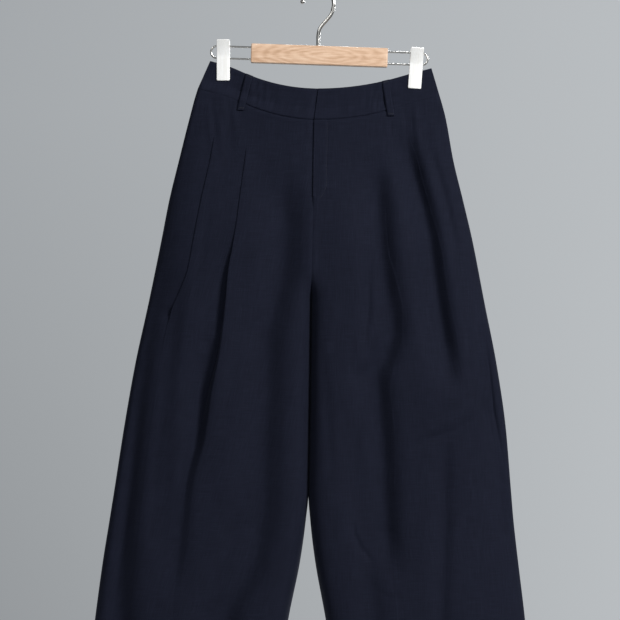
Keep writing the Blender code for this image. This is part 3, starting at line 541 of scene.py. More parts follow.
def landmark(row, side, distance):
    """Where a line that is given as a distance for each drop crosses each row: (across, drop).
    The row's drop depends on that place, so it is worked out four times over."""
    drop = row
    for _ in range(4):
        across = distance(drop)
        drop = row_drop(side_x(across, drop, side), row)
    return across, drop


def pleat_line(row, side, which):
    """The edge of a side's first or second pleat on each row: (across, drop)."""
    drops, places = zip(*PLEATS[side][which][0])
    return landmark(row, side, lambda drop: from_centre(through(drop, drops, places), drop, side))


def pleat_shape(drop, pleat):
    """The angle, bend radius, straight length and lift of a pleat at a drop. Flat, it is
    folded back through half a turn. It opens to open_angle and dies away to nothing. Above
    its slit it is only the step of a seam."""
    pleat = dict(zip(PLEAT_COLUMNS, pleat[1]))
    opening = smoothstep((drop - pleat["crisp_to"]) / (pleat["open_at"] - pleat["crisp_to"]))
    fading = smoothstep((drop - pleat["open_at"]) / (pleat["fades_at"] - pleat["open_at"]))
    open_angle = math.radians(pleat["open_angle"])
    angle = (math.pi + (open_angle - math.pi) * opening) * (1.0 - fading) + FADED_ANGLE * fading
    radius = FOLD_RADIUS["flat"] + (pleat["open_radius"] - FOLD_RADIUS["flat"]) * opening**1.5
    radius = radius + (FOLD_RADIUS["faded"] - pleat["open_radius"]) * fading
    length = pleat["fold"] + (pleat["step"] - pleat["fold"]) * opening
    flat_lift = 2.0 * FOLD_RADIUS["flat"]
    lift = (flat_lift + (pleat["lift"] - flat_lift) * opening) * (1.0 - fading)
    loose = smoothstep((drop - pleat["slit_top"]) / pleat["slit_ease"])
    sewn_angle = SEWN["angle"] * pleat["sewn_line"]
    angle = sewn_angle + (angle - sewn_angle) * smoothstep(loose / 0.12)
    radius = SEWN["radius"] + (radius - SEWN["radius"]) * loose
    length = SEWN["length"] + (length - SEWN["length"]) * smoothstep((loose - 0.08) / 0.92)
    return angle, radius, length, lift * loose


def fold_points(shape, turns, straight):
    """A pleat's own points: a turn through its angle, a straight stretch, and a turn back.
    Returns how far out and how far in each lies from where the fold starts."""
    angle, radius, length, _ = shape
    first = angle * np.linspace(0.0, 1.0, turns + 1)
    second = angle * np.linspace(1.0, 0.0, turns + 1)
    along = length * np.linspace(0.0, 1.0, straight + 1)[1:-1]
    turn_out, turn_in = radius * np.sin(angle), radius * (1.0 - np.cos(angle))
    end_out = 2.0 * turn_out + length * np.cos(angle)
    end_in = 2.0 * turn_in + length * np.sin(angle)
    out = [
        radius * np.sin(first),
        turn_out + along * np.cos(angle),
        end_out - radius * np.sin(second),
    ]
    inward = [
        radius * (1.0 - np.cos(first)),
        turn_in + along * np.sin(angle),
        end_in - radius * (1.0 - np.cos(second)),
    ]
    return np.concatenate(out, axis=1), np.concatenate(inward, axis=1)


def front_section(row, side, columns):
    """A pleated front, a row of points for each row: how far across each point lies, and how
    far the pleats set it in. From the centre out it is plain cloth, a pleat, plain cloth,
    a pleat, and plain cloth to the side seam. Before a pleat the cloth is lifted, and past
    the pleat's edge it comes back to its place."""
    across_in, _ = landmark(row, side, lambda drop: front_inner_edge(drop, side))
    across_out, _ = landmark(row, side, lambda drop: outer_edge(drop, side))
    places, insets = [], []
    begin = across_in
    carried = np.zeros_like(row)
    edge_before = across_in - 1.0
    reach_before = np.ones_like(row)
    stretches = (columns["centre"], columns["between"], columns["side"])
    for k, count in enumerate(stretches):
        last = k == len(stretches) - 1
        if last:
            end = across_out
            lift = np.zeros_like(row)
            spread = np.sin(0.5 * math.pi * np.arange(1, count + 1) / count)
        else:
            edge, drop = pleat_line(row, side, k)
            shape = pleat_shape(drop, PLEATS[side][k])
            end = edge - shape[1] * np.sin(np.minimum(shape[0], 0.5 * math.pi))
            lift = shape[3]
            even = np.arange(k, count + k) / (count + k)
            spread = even if k else 1.0 - np.cos(0.5 * math.pi * even)
        across = begin + (end - begin) * spread
        back = 1.0 - smoothstep((across - edge_before) / reach_before)
        raised = smoothstep((across - (end - LIFT_REACH)) / LIFT_REACH)
        places.append(across)
        insets.append(carried * back - lift * raised)
        if last:
            break
        out, inward = fold_points(shape, columns["turn"], columns["straight"])
        places.append(end + out)
        insets.append(inward - lift)
        begin = end + out[:, -1:]
        carried = inward[:, -1:] - lift
        edge_before = edge
        after = across_out if k else pleat_line(row, side, 1)[0]
        reach_before = 0.72 * (after - edge)
    return np.concatenate(places, axis=1), np.concatenate(insets, axis=1)


def seam_strength(across):
    """How deeply the waist seam is drawn in: less beyond the belt loops, where it is pressed."""
    return 1.0 - 0.75 * smoothstep((across - 0.108) / 0.022)


def seam_pinch(across, drop, row):
    """How far the cloth is drawn in along its seams: a narrow groove at the waist seam with
    a soft pressed ridge under it, the panel's top tucked in behind the waistband, and a
    groove and ridge at the centre seam below the fly."""
    below = row - WAIST_SEAM["centre"]
    waist = 0.0017 * bell(below, 0.0012) - 0.00060 * bell(below - 0.0050, 0.0032)
    tucked = 1.0 - smoothstep((below + WAIST_TUCK["height"]) / 0.0010)
    waist = waist * seam_strength(across) + WAIST_TUCK["depth"] * tucked
    beside = across - inner_edge(drop)
    centre = 0.00042 * bell(beside, 0.0013) - 0.0003 * bell(beside - 0.005, 0.003)
    return waist + centre * (1.0 - fly_share(drop)) * centre_share(drop)


def seam_lap(share, drop):
    """How far a panel runs past the middle plane at its side seam and its inseam."""
    at_side = 1.0 - smoothstep((1.0 - share) / 0.03)
    at_inseam = np.sin(seam_turn(drop)) * (1.0 - smoothstep(share / 0.02))
    return SEAM_LAP["side"] * at_side + SEAM_LAP["inseam"] * at_inseam


def hem_depth(drop):
    """The hem is turned up twice, so it stands a little proud below a drawn-in stitch line."""
    turned = 0.00035 * smoothstep((drop - HEM_TOP) / 0.002)
    return turned - 0.00030 * bell(drop - HEM_STITCH, 0.0012)


def cloth_points(across, drop, row, side, face, inset):
    """Points of the middle of the cloth, from how far across, down and set in they are."""
    share = share_across(across, drop, side)
    inside = smoothstep(share / 0.05) * smoothstep((1.0 - share) / 0.07)
    settled = smoothstep((row - WAIST_SEAM["centre"]) / 0.030)
    seed = {"right": 11, "left": 23}[side] + {"front": 0, "back": 40}[face]
    depth = base_depth(across, drop, side, face) - inset
    depth = depth - trough_depth(across, drop, side, face)
    depth = depth - crease_depth(across, drop, side, face) * inside
    uneven = rumple(side_x(across, drop, side), drop, seed)
    depth = depth + uneven * inside * (0.25 + 0.75 * settled)
    depth = depth - seam_pinch(across, drop, row) * smoothstep((1.0 - share) / 0.03)
    depth = depth + hem_depth(drop) * smoothstep((1.0 - share) / 0.02) * smoothstep(share / 0.02)
    if face == "front":
        depth = depth + fly_facing(across, drop, side)
    y = FACES[face] * (np.maximum(depth, 0.0) + 0.25 * SEAM_GAP - seam_lap(share, drop))
    return np.stack([side_x(across, drop, side), y, -drop], axis=-1)


def panel_rows(count):
    """Rows of a panel down the centre: even, with some more at the waist seam, at the end
    of the fly and at the hem's stitching."""
    top = WAIST_SEAM["centre"] - WAIST_TUCK["height"]
    even = np.linspace(top, HEM_DROP, count)
    even = even[(even > top + 0.012) & (even < HEM_DROP - 0.003)]
    even = even[(abs(even - FLY_END) > 0.004) & (abs(even - HEM_TOP) > 0.005)]
    waist = top + np.array([0.0, 0.0009, 0.0016, 0.0026, 0.0038, 0.0054, 0.0074, 0.0098])
    fly = FLY_END + np.array([-0.0035, -0.0022, -0.0015, -0.0010, -0.0005, 0.0, 0.0010, 0.0030])
    turned = HEM_TOP + np.array([-0.0040, -0.0015, 0.0, 0.0008, 0.0016, 0.0028, 0.0045])
    end = HEM_DROP + np.array([-0.0024, -0.0010, 0.0])
    return np.unique(np.concatenate([waist, even, fly, turned, end]))


FRONT_ROWS = panel_rows(232)
BACK_ROWS = panel_rows(206)
FRONT_COLUMNS = {"centre": 66, "turn": 7, "straight": 4, "between": 30, "side": 58}
BACK_COLUMNS = 132
BAND_ROWS = crowded_shares(34)[:, None]
# The weave of each panel runs straight down this column.
GRAIN_COLUMNS = {"front": FRONT_COLUMNS["centre"] - 20, "back": BACK_COLUMNS // 2}


def front_panel(side):
    """A front of the trousers: pleats at the top, round at the side seam and the inseam."""
    row = FRONT_ROWS[:, None]
    across, inset = front_section(row, side, FRONT_COLUMNS)
    across, drop = landmark(row, side, lambda drop: across)
    inset = inset + fly_step(across, drop, side)
    return cloth_points(across, drop, row, side, "front", inset)


def back_panel(side):
    """A back of the trousers: plain, with soft troughs. Its columns crowd at both edges."""
    row = BACK_ROWS[:, None]
    begin, _ = landmark(row, side, inner_edge)
    end, _ = landmark(row, side, lambda drop: outer_edge(drop, side))
    across = begin + (end - begin) * crowded_shares(BACK_COLUMNS)
    across, drop = landmark(row, side, lambda drop: across)
    return cloth_points(across, drop, row, side, "back", 0.0)


def band_points(side, face, share, down):
    """Points of the waistband: share runs from the centre to the side seam, and down from
    the waist line to the waist seam. It is puckered a little, and turned in at both edges."""
    lower = BACK_WAIST_LOWER if face == "back" else 0.0
    start = FLY_EDGE[side] if face == "front" else 0.0
    sign = SIDES[side]
    # The ends at the side seam, from a guess of their drops that four rounds make good.
    top_drop, seam_drop = 0.1373, WAIST_SEAM["centre"] - 0.040
    for _ in range(4):
        top_end = sign * (section(side, top_drop) - 0.5 * CLOTH)
        seam_end = sign * (section(side, seam_drop) - 0.5 * CLOTH)
        top_drop = waist_line(top_end, WAIST_TOP) + lower
        seam_drop = waist_line(seam_end, WAIST_SEAM)
    top_start = section("centre", WAIST_TOP["centre"]) + sign * start
    seam_start = section("centre", WAIST_SEAM["centre"]) + sign * start
    top_x = top_start + (top_end - top_start) * share
    seam_x = seam_start + (seam_end - seam_start) * share
    top = waist_line(top_x, WAIST_TOP) + lower
    seam = waist_line(seam_x, WAIST_SEAM)
    x = top_x + (seam_x - top_x) * down
    drop = top + (seam - top) * down
    across = sign * (x - section("centre", drop))
    inset = fly_step(across, drop, side) if face == "front" else 0.0
    depth = base_depth(across, drop, side, face) - inset
    inside = smoothstep((1.0 - share) / 0.06)
    seed = 71 if face == "front" else 83
    free = inside * smoothstep(share / 0.05) * (1.0 - 0.75 * smoothstep((across - 0.11) / 0.03))
    gathered = bell(across - 0.098, 0.022) * (1.0 - 0.6 * down)
    gathers = smooth_noise((x + 0.25 * drop) / 0.0042 + 6.0, drop / 0.022 + 5.0, seed + 5)
    wide = smooth_noise(x / 0.012 + 4.0, drop / 0.030 + 9.0, seed)
    fine = smooth_noise((x + drop) / 0.0050 + 11.0, drop / 0.016 + 3.0, seed + 1)
    pucker = 0.00066 * wide + 0.00220 * gathered * gathers + 0.00022 * fine
    from_top, from_seam = down * (seam - top), (1.0 - down) * (seam - top)
    turned = bell(from_top, 0.0016) + 2.6 * seam_strength(across) * bell(from_seam, 0.0011)
    welt = 0.00035 * bell(from_top - 0.0042, 0.0030)
    depth = depth + pucker * free * np.sin(math.pi * down) ** 0.5
    depth = depth + inside * (0.00030 + welt - 0.0006 * turned)
    lap = SEAM_LAP["side"] * (1.0 - smoothstep((1.0 - share) / 0.04))
    y = FACES[face] * (np.maximum(depth, 0.0) + 0.25 * SEAM_GAP - lap)
    return np.stack([x, y, -drop], axis=-1)


def front_band(side, columns=150):
    """A front waistband, from its fly end to the side seam, with its columns closer together
    towards both."""
    share = np.linspace(0.0, 1.0, columns)
    share = share - 0.9 * np.sin(2.0 * math.pi * share) / (2.0 * math.pi)
    return band_points(side, "front", share[None, :], BAND_ROWS)


def back_band(columns=130):
    """The back waistband is one piece from side seam to side seam."""
    half = np.sin(0.5 * math.pi * np.linspace(0.0, 1.0, columns))[None, :]
    right, left = (band_points(side, "back", half, BAND_ROWS) for side in SIDES)
    return np.concatenate([right[:, ::-1], left[:, 1:]], axis=1)


def loop_points(face, x, lean, columns=15, rows=64):
    """A belt loop: a strip from the waist line to just under the waist seam. It lies on the
    band at its top, stands off it between the ends, and lies on the panel's seam at its
    foot. Across, it is a low crown with rolled edges."""
    down = crowded_shares(rows)[:, None]
    sideways = np.sin(np.linspace(-0.5 * math.pi, 0.5 * math.pi, columns))[None, :]
    narrow = 1.0 - 0.05 * np.sin(math.pi * down)
    place = x + lean * down + 0.5 * LOOP_WIDTH * sideways * narrow
    level = waist_line(x, WAIST_TOP)
    top = level + (waist_line(place, WAIST_TOP) - level) * (1.0 - down)
    drop = top + 0.0001 + LOOP_LENGTH * down
    bulge = LOOP_BULGE * np.sin(math.pi * np.minimum(down, 0.5)) ** 0.6
    foot = (LOOP_BULGE - LOOP_FOOT) * smoothstep((down - 0.60) / 0.28)
    off = 0.5 * WALL + SEAM_GAP + 0.5 * LOOP_WALL + bulge - foot
    crown = 0.00035 * (1.0 - sideways**2) - 0.00045 * smoothstep((np.abs(sideways) - 0.80) / 0.20)
    rolled = 0.00014 * bell(np.abs(sideways) - 0.62, 0.16)
    off_centre = place - section("centre", drop)
    depth = np.where(
        off_centre < 0.0,
        base_depth(-off_centre, drop, "right", face),
        base_depth(off_centre, drop, "left", face),
    )
    y = FACES[face] * (depth - PROUD + 0.5 * SEAM_GAP + off + crown + rolled)
    return np.stack([place, y, -drop], axis=-1)


def grid_normals(middle, start_normal=None, end_normal=None):
    """Unit normals of a grid of points, level at its top and bottom rows, and as given at
    its first and last columns."""
    along = np.gradient(middle, axis=1) * 2.0
    along[:, 1:-1] = middle[:, 2:] - middle[:, :-2]
    down = np.gradient(middle, axis=0)
    normal = np.cross(along, down)
    normal[0, :, 2] = 0.0
    normal[-1, :, 2] = 0.0
    if start_normal is not None:
        normal[:, 0] = start_normal
    if end_normal is not None:
        normal[:, -1] = end_normal
    return normal / np.maximum(np.linalg.norm(normal, axis=-1, keepdims=True), 1e-12)


def wall_mesh(middle, thickness, start_normal=None, end_normal=None):
    """Closes a grid of points into a wall: both faces lie half the thickness off, along the
    grid's normals, and a rim joins them."""
    normal = grid_normals(middle, start_normal, end_normal)
    points = np.concatenate([
        (middle + sign * 0.5 * thickness * normal).reshape(-1, 3) for sign in (1.0, -1.0)
    ])
    rows, columns = middle.shape[:2]
    index = np.arange(rows * columns).reshape(rows, columns)
    a, b, c, d = index[:-1, :-1], index[1:, :-1], index[1:, 1:], index[:-1, 1:]
    outer = np.stack([a, d, c, b], -1).reshape(-1, 4)
    inner = outer[:, ::-1] + rows * columns
    loop = np.concatenate([index[0, :-1], index[:-1, -1], index[-1, :0:-1], index[:0:-1, 0]])
    after = np.roll(loop, -1)
    rim = np.stack([after, loop, loop + rows * columns, after + rows * columns], -1)
    return points, np.concatenate([outer, inner, rim])


def cloth_uv(middle, grain_column):
    """The place on the cloth in metres, for the weave: across is the length along each row
    from the grain column, and down is the drop."""
    steps = np.linalg.norm(np.diff(middle, axis=1), axis=-1)
    across = np.concatenate([np.zeros((len(middle), 1)), np.cumsum(steps, axis=1)], axis=1)
    grain = slice(grain_column, grain_column + 1)
    across = across - across[:, grain] + middle[:, grain, 0]
    return np.stack([across, middle[..., 2]], axis=-1).reshape(-1, 2)


def add_object(name, data, place):
    """An object of this data at a place."""
    made = bpy.data.objects.new(name, data)
    bpy.context.scene.collection.objects.link(made)
    made.location = place
    return made


def make_mesh(name, points, faces, finish, uv=None):
    """A mesh object from arrays of points and of four-sided faces."""
    mesh = bpy.data.meshes.new(name)
    size = faces.shape[1]
    mesh.vertices.add(len(points))
    mesh.vertices.foreach_set("co", np.asarray(points, np.float32).ravel())
    mesh.loops.add(faces.size)
    mesh.loops.foreach_set("vertex_index", faces.astype(np.int32).ravel())
    mesh.polygons.add(len(faces))
    mesh.polygons.foreach_set("loop_start", np.arange(0, faces.size, size, dtype=np.int32))
    mesh.update(calc_edges=True)
    mesh.validate()
    if uv is not None:
        layer = mesh.uv_layers.new(name="cloth")
        corners = np.empty(len(mesh.loops), np.int32)
        mesh.loops.foreach_get("vertex_index", corners)
        layer.data.foreach_set("uv", uv[corners].astype(np.float32).ravel())
    mesh.materials.append(finish)
    mesh.shade_smooth()
    mesh.set_sharp_from_angle(angle=math.radians(50.0))
    return add_object(name, mesh, (0.0, 0.0, 0.0))


def add_cloth(name, middle, thickness, finish, grain_column, start_normal=None, end_normal=None):
    """A piece of cloth as a closed thin wall with the weave's place on it."""
    points, faces = wall_mesh(middle, thickness, start_normal, end_normal)
    uv = cloth_uv(middle, grain_column)
    return make_mesh(name, points, faces, finish, np.concatenate([uv, uv]))


def settle(piece, slot, *nodes):
    """Puts a piece on the part's one body, in place of the solids that it stands for."""
    if nodes:
        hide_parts(*nodes)
    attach(piece, "root")
    return piece


def hang(piece, node, with_pieces=()):
    """Puts a cloth piece on the part's one body, in place of its solid."""
    settle(piece, "navy_linen", node)


# Materials

class Tree:
    """A node tree. An input is a number, a colour or the output of another node, and each
    way to add a node gives that node's output."""

    def __init__(self, owner):
        owner.use_nodes = True
        self.nodes = owner.node_tree.nodes
        self.links = owner.node_tree.links

    def feed(self, node, inputs):
        """Sets or links inputs, given by name or by number."""
        for key, value in inputs.items():
            if isinstance(value, bpy.types.NodeSocket):
                self.links.new(value, node.inputs[key])
            else:
                node.inputs[key].default_value = value

    def add(self, kind, output, inputs, **settings):
        """Adds a node of a kind."""
        node = self.nodes.new("ShaderNode" + kind)
        for name, value in settings.items():
            setattr(node, name, value)
        self.feed(node, inputs)
        return node.outputs[output]

    def place(self, scale):
        """The place on the object, scaled."""
        return self.scaled(self.add("TexCoord", "Object", {}), scale)

    def scaled(self, source, scale):
        """Another place, scaled."""
        return self.add("Mapping", "Vector", {"Vector": source, "Scale": scale})

    def noise(self, place, detail=2.0, roughness=0.5, distortion=0.0):
        """Cloudy noise, with lumps about one unit of the place wide."""
        inputs = {"Vector": place, "Scale": 1.0, "Detail": detail, "Roughness": roughness}
        return self.add("TexNoise", "Fac", {**inputs, "Distortion": distortion})

    def math(self, kind, first, second):
        """One step of arithmetic on two values."""
        return self.add("Math", 0, {0: first, 1: second}, operation=kind)

    def blend(self, *layers):
        """The sum of layers of (value, share), each value times its share."""
        total, *others = (self.math("MULTIPLY", value, share) for value, share in layers)
        for layer in others:
            total = self.math("ADD", total, layer)
        return total

    def ranged(self, value, low, high, to=(0.0, 1.0)):
        """A value carried from the range low to high into another, and held within it."""
        inputs = {"Value": value, "From Min": low, "From Max": high}
        return self.add("MapRange", "Result", {**inputs, "To Min": to[0], "To Max": to[1]})

    def ramp(self, value, *stops):
        """Colours from a value, through stops of (place, red, green, blue). A stop of
        (place, grey) stands for a grey."""
        node = self.nodes.new("ShaderNodeValToRGB")
        while len(node.color_ramp.elements) < len(stops):
            node.color_ramp.elements.new(0.5)
        for element, (place, *colour) in zip(node.color_ramp.elements, stops):
            element.position = place
            element.color = (*(colour * 3)[:3], 1.0)
        self.feed(node, {"Fac": value})
        return node.outputs["Color"]

    def bump(self, height, strength, distance):
        """Raised relief, as a normal."""
        inputs = {"Height": height, "Strength": strength, "Distance": distance}
        return self.add("Bump", "Normal", inputs)


def new_finish(name):
    """A material, its node tree and its shader node."""
    made = bpy.data.materials.new(name)
    tree = Tree(made)
    return made, tree, tree.nodes["Principled BSDF"]


def linen():
    """Plain-woven linen. Thick and thin yarns both ways, which colour the cloth a little and
    raise it, over a fine even weave. The place is the cloth's own, in metres."""
    made, tree, shader = new_finish("navy linen")
    place = tree.add("UVMap", "UV", {}, uv_map="cloth")
    warp = tree.noise(tree.scaled(place, (1500.0, 34.0, 1.0)), 2.0, 0.55)
    weft = tree.noise(tree.scaled(place, (30.0, 1500.0, 1.0)), 2.0, 0.55)
    slub_warp = tree.noise(tree.scaled(place, (720.0, 24.0, 1.0)), 1.0)
    slub_weft = tree.noise(tree.scaled(place, (34.0, 820.0, 1.0)), 1.0)
    cloudy = tree.noise(tree.scaled(place, (14.0, 7.0, 1.0)), 3.0)
    yarn = tree.math("ADD", warp, weft)
    slub = tree.math("ADD", slub_warp, slub_weft)
    colour = tree.ramp(
        tree.blend((yarn, 0.30), (slub, 0.20), (cloudy, 0.10)),
        (0.36, 0.0037, 0.0046, 0.0106),
        (0.54, 0.0062, 0.0077, 0.0170),
        (0.72, 0.0108, 0.0129, 0.0258),
    )
    height = tree.blend((yarn, 0.5), (slub, 0.6))
    tree.feed(shader, {
        "Base Color": colour, "Normal": tree.bump(height, 0.55, 0.00035),
        "Roughness": 0.86, "Specular IOR Level": 0.12,
        "Sheen Weight": 0.04, "Sheen Roughness": 0.45, "Sheen Tint": (0.50, 0.56, 0.80, 1.0),
    })
    return made


def thread():
    """Sewing thread: the cloth's navy with fine plies."""
    made, tree, shader = new_finish("navy thread")
    ply = tree.noise(tree.place((2200.0, 2200.0, 1400.0)), 2.0)
    colour = tree.ramp(ply, (0.35, 0.0050, 0.0060, 0.0115), (0.70, 0.0105, 0.0125, 0.0220))
    relief = tree.bump(ply, 0.4, 0.0002)
    tree.feed(shader, {"Base Color": colour, "Normal": relief, "Roughness": 0.62})
    return made


def along_bar(tree, scale, centre=0.0):
    """The place on the bar, turned with it and then scaled, from a point on its middle line."""
    x, drop = tilted(np.array(centre), np.array(0.0))
    inputs = {"Location": (x, 0.0, -drop), "Rotation": (0.0, HANGER_TILT, 0.0)}
    inputs = {**inputs, "Scale": tuple(1.0 / s for s in scale)}
    source = tree.add("TexCoord", "Object", {})
    return tree.add("Mapping", "Vector", {"Vector": source, **inputs}, vector_type="TEXTURE")


def beech():
    """Pale beech: long flat rings that close in arches near the bar's ends, wavy grain along
    it, fine dark flecks and a satin coat."""
    made, tree, shader = new_finish("pale beech")
    rings = tree.add(
        "TexWave", "Fac",
        {"Vector": along_bar(tree, (15.0, 27.0, 70.0), 0.016), "Scale": 1.0, "Distortion": 6.0,
         "Detail": 2.0, "Detail Scale": 1.5},
        wave_type="RINGS", rings_direction="Y",
    )
    waves = tree.noise(along_bar(tree, (16.0, 120.0, 210.0)), 3.0, 0.5, 1.1)
    fine = tree.noise(along_bar(tree, (60.0, 700.0, 1400.0)), 3.0, 0.6)
    flecks = tree.noise(along_bar(tree, (260.0, 1500.0, 2400.0)), 1.0)
    wide = tree.noise(along_bar(tree, (9.0, 20.0, 60.0)), 1.0)
    grain = tree.blend((waves, 0.40), (fine, 0.28), (wide, 0.16), (rings, 0.09))
    colour = tree.ramp(
        grain, (0.34, 0.53, 0.322, 0.194), (0.46, 0.68, 0.450, 0.298), (0.57, 0.775, 0.550, 0.386)
    )
    dark = tree.ramp(flecks, (0.26, 0.62, 0.52, 0.44), (0.36, 1.0))
    mixed = tree.add(
        "Mix", "Result", {"Factor": 0.5, "A": colour, "B": dark},
        data_type="RGBA", blend_type="MULTIPLY",
    )
    tree.feed(shader, {
        "Base Color": mixed, "Normal": tree.bump(grain, 0.12, 0.0004),
        "Roughness": 0.42, "Coat Weight": 0.18, "Coat Roughness": 0.28,
    })
    return made


def chrome():
    """Bright wire, a little smeared."""
    made, tree, shader = new_finish("polished wire")
    smear = tree.noise(tree.place((140.0, 140.0, 140.0)), 3.0)
    rough = tree.ramp(smear, (0.30, 0.16), (0.75, 0.24))
    tint = tree.ramp(smear, (0.30, 0.50, 0.485, 0.455), (0.75, 0.60, 0.58, 0.55))
    tree.feed(shader, {"Base Color": tint, "Roughness": rough, "Metallic": 1.0})
    return made


def satin_metal():
    """Pale plated steel with faint streaks up and down from its brushing."""
    made, tree, shader = new_finish("satin clip metal")
    streaks = tree.noise(tree.place((1100.0, 1100.0, 22.0)), 2.0, 0.6)
    cloudy = tree.noise(tree.place((90.0, 90.0, 50.0)), 2.0)
    tone = tree.blend((streaks, 0.7), (cloudy, 0.3))
    colour = tree.ramp(
        tone, (0.38, 0.90, 0.885, 0.845), (0.52, 0.98, 0.97, 0.945), (0.66, 1.0, 1.0, 0.985)
    )
    tree.feed(shader, {
        "Base Color": colour, "Roughness": tree.ramp(tone, (0.30, 0.30), (0.70, 0.44)),
        "Normal": tree.bump(streaks, 0.10, 0.0001), "Metallic": 0.28,
    })
    return made


def plain_floor():
    """A matt grey floor."""
    made, tree, shader = new_finish("plain floor")
    cloudy = tree.noise(tree.place((3.0, 3.0, 3.0)), 2.0)
    colour = tree.ramp(cloudy, (0.30, 0.46, 0.47, 0.475), (0.70, 0.50, 0.51, 0.515))
    tree.feed(shader, {"Base Color": colour, "Roughness": 0.8})
    return made


# Trousers

def panel_edges(side, face, middle):
    """Directions of the cloth's outer face at the first and last columns of a panel, turned
    the way its grid runs."""
    turn = seam_turn(-middle[:, 0, 2])
    sign = SIDES[side]
    start = np.stack([-sign * np.sin(turn), FACES[face] * np.cos(turn), 0.0 * turn], axis=-1)
    end = np.broadcast_to(np.array([sign, 0.0, 0.0]), start.shape)
    return sign * FACES[face] * start, sign * FACES[face] * end


def stitch_run(name, places, normals, kind, finish):
    """A row of stitches along a line on the cloth. Each is a low half-buried bar of six
    sides: rings of radius times the root of 1 - |t|^3 along it."""
    pitch, length, radius = STITCHES[kind]
    steps = np.linalg.norm(np.diff(places, axis=0), axis=1)
    along = np.concatenate([[0.0], np.cumsum(steps)])
    count = max(int((along[-1] - length) / pitch), 1)
    starts = np.arange(count) * pitch + 0.5 * (along[-1] - (count - 1) * pitch - length)

    def at(distance, values):
        return np.stack([np.interp(distance, along, values[:, k]) for k in range(3)], axis=-1)

    first, last = at(starts, places), at(starts + length, places)
    up = at(starts + 0.5 * length, normals)
    up = up / np.linalg.norm(up, axis=-1, keepdims=True)
    reach = np.linalg.norm(last - first, axis=-1, keepdims=True)
    run = (last - first) / reach
    wide = np.cross(run, up)
    t = np.array([-1.0, -0.75, 0.0, 0.75, 1.0])
    size = radius * np.sqrt(np.clip(1.0 - np.abs(t) ** 3, 0.02, 1.0))
    angle = np.linspace(0.0, 2.0 * math.pi, 7)[:-1]
    middle = 0.5 * (first + last)
    rings = (
        middle[:, None, None]
        + (0.5 * reach * t)[..., None, None] * run[:, None, None]
        + (size[:, None] * np.cos(angle))[..., None] * wide[:, None, None]
        + (size[:, None] * np.sin(angle))[..., None] * up[:, None, None]
    )
    return make_tubes(name, rings, finish)


def ring_walls(index):
    """Faces between rings of points, one ring a row of their numbers."""
    after = np.roll(index, -1, axis=1)
    return np.stack([index[:-1], after[:-1], after[1:], index[1:]], -1).reshape(-1, 4)


def fan(ring):
    """Faces that fill a ring of points, all from its first one."""
    k = np.arange(1, len(ring) - 1, 2)
    first = np.full(len(k), ring[0])
    return np.stack([first, ring[k], ring[k + 1], ring[np.minimum(k + 2, len(ring) - 1)]], -1)


def make_tubes(name, rings, finish):
    """Many closed tubes in one mesh, from an array of tube, ring, side and place."""
    count, ring_count, sides = rings.shape[:3]
    index = np.arange(ring_count * sides).reshape(ring_count, sides)
    one = np.concatenate([ring_walls(index), fan(index[0])[:, [0, 3, 2, 1]], fan(index[-1])])
    faces = (one[None] + (np.arange(count) * index.size)[:, None, None]).reshape(-1, 4)
    return make_mesh(name, rings.reshape(-1, 3), faces, finish)


def rounded_loop(width, height, radius, per_corner=4):
    """Rounded rectangles as closed loops: an array of ring, point and (sideways, upward),
    from arrays of the widths, heights and corner radii."""
    width, height, radius = (np.asarray(v, float)[:, None] for v in (width, height, radius))
    angle = np.linspace(0.0, 0.5 * math.pi, per_corner + 1)[None, :]
    corners = []
    for k, (sx, sy) in enumerate(((1, 1), (-1, 1), (-1, -1), (1, -1))):
        turned = angle + 0.5 * math.pi * k
        u = sx * (0.5 * width - radius) + radius * np.cos(turned)
        v = sy * (0.5 * height - radius) + radius * np.sin(turned)
        corners.append(np.stack([u, v], axis=-1))
    return np.concatenate(corners, axis=1)


def end_round(places, radius):
    """How much narrower a shape is on each side near its two ends, for a quarter-circle
    rounding: radius less the root of radius^2 - (radius - distance)^2."""
    near = np.clip(np.minimum(places - places[0], places[-1] - places), 0.0, radius)
    return radius - np.sqrt(np.clip(radius**2 - (radius - near) ** 2, 0.0, None))


def crowded(low, high, radius, even):
    """Places from low to high, with a fine run over the rounding at each end."""
    arc = radius * (1.0 - np.cos(np.linspace(0.0, 0.5 * math.pi, 7)))
    inner = np.linspace(low + radius, high - radius, even)
    return np.concatenate([low + arc[:-1], inner, (high - arc[:-1])[::-1]])


def tube(name, path, radii, finish, sides=20):
    """A round wire along a path of (x, drop) in the middle plane, with a radius at each."""
    path = np.asarray(path, float)
    tangent = np.gradient(path, axis=0)
    tangent /= np.linalg.norm(tangent, axis=1, keepdims=True)
    angle = np.linspace(0.0, 2.0 * math.pi, sides + 1)[:-1]
    out = radii[:, None] * np.cos(angle)[None, :]
    x = path[:, :1] + tangent[:, 1:] * out
    drop = path[:, 1:] - tangent[:, :1] * out
    y = radii[:, None] * np.sin(angle)[None, :]
    rings = np.stack([x, y, -drop], axis=-1)
    return make_tubes(name, rings[None], finish)


def tilted(x, drop):
    """Places on the hanger, from ones measured along its bar and below its middle."""
    c, s = math.cos(HANGER_TILT), math.sin(HANGER_TILT)
    return np.stack([BAR_CENTRE[0] + c * x - s * drop, BAR_CENTRE[1] + s * x + c * drop], axis=-1)


def carried_along(name, x, loop, finish):
    """Loops of (forward, upward) points carried along the hanger's middle line."""
    place = tilted(np.broadcast_to(x[:, None], loop.shape[:2]), loop[..., 1])
    rings = np.stack([place[..., 0], loop[..., 0], -place[..., 1]], axis=-1)
    return make_tubes(name, rings[None], finish)


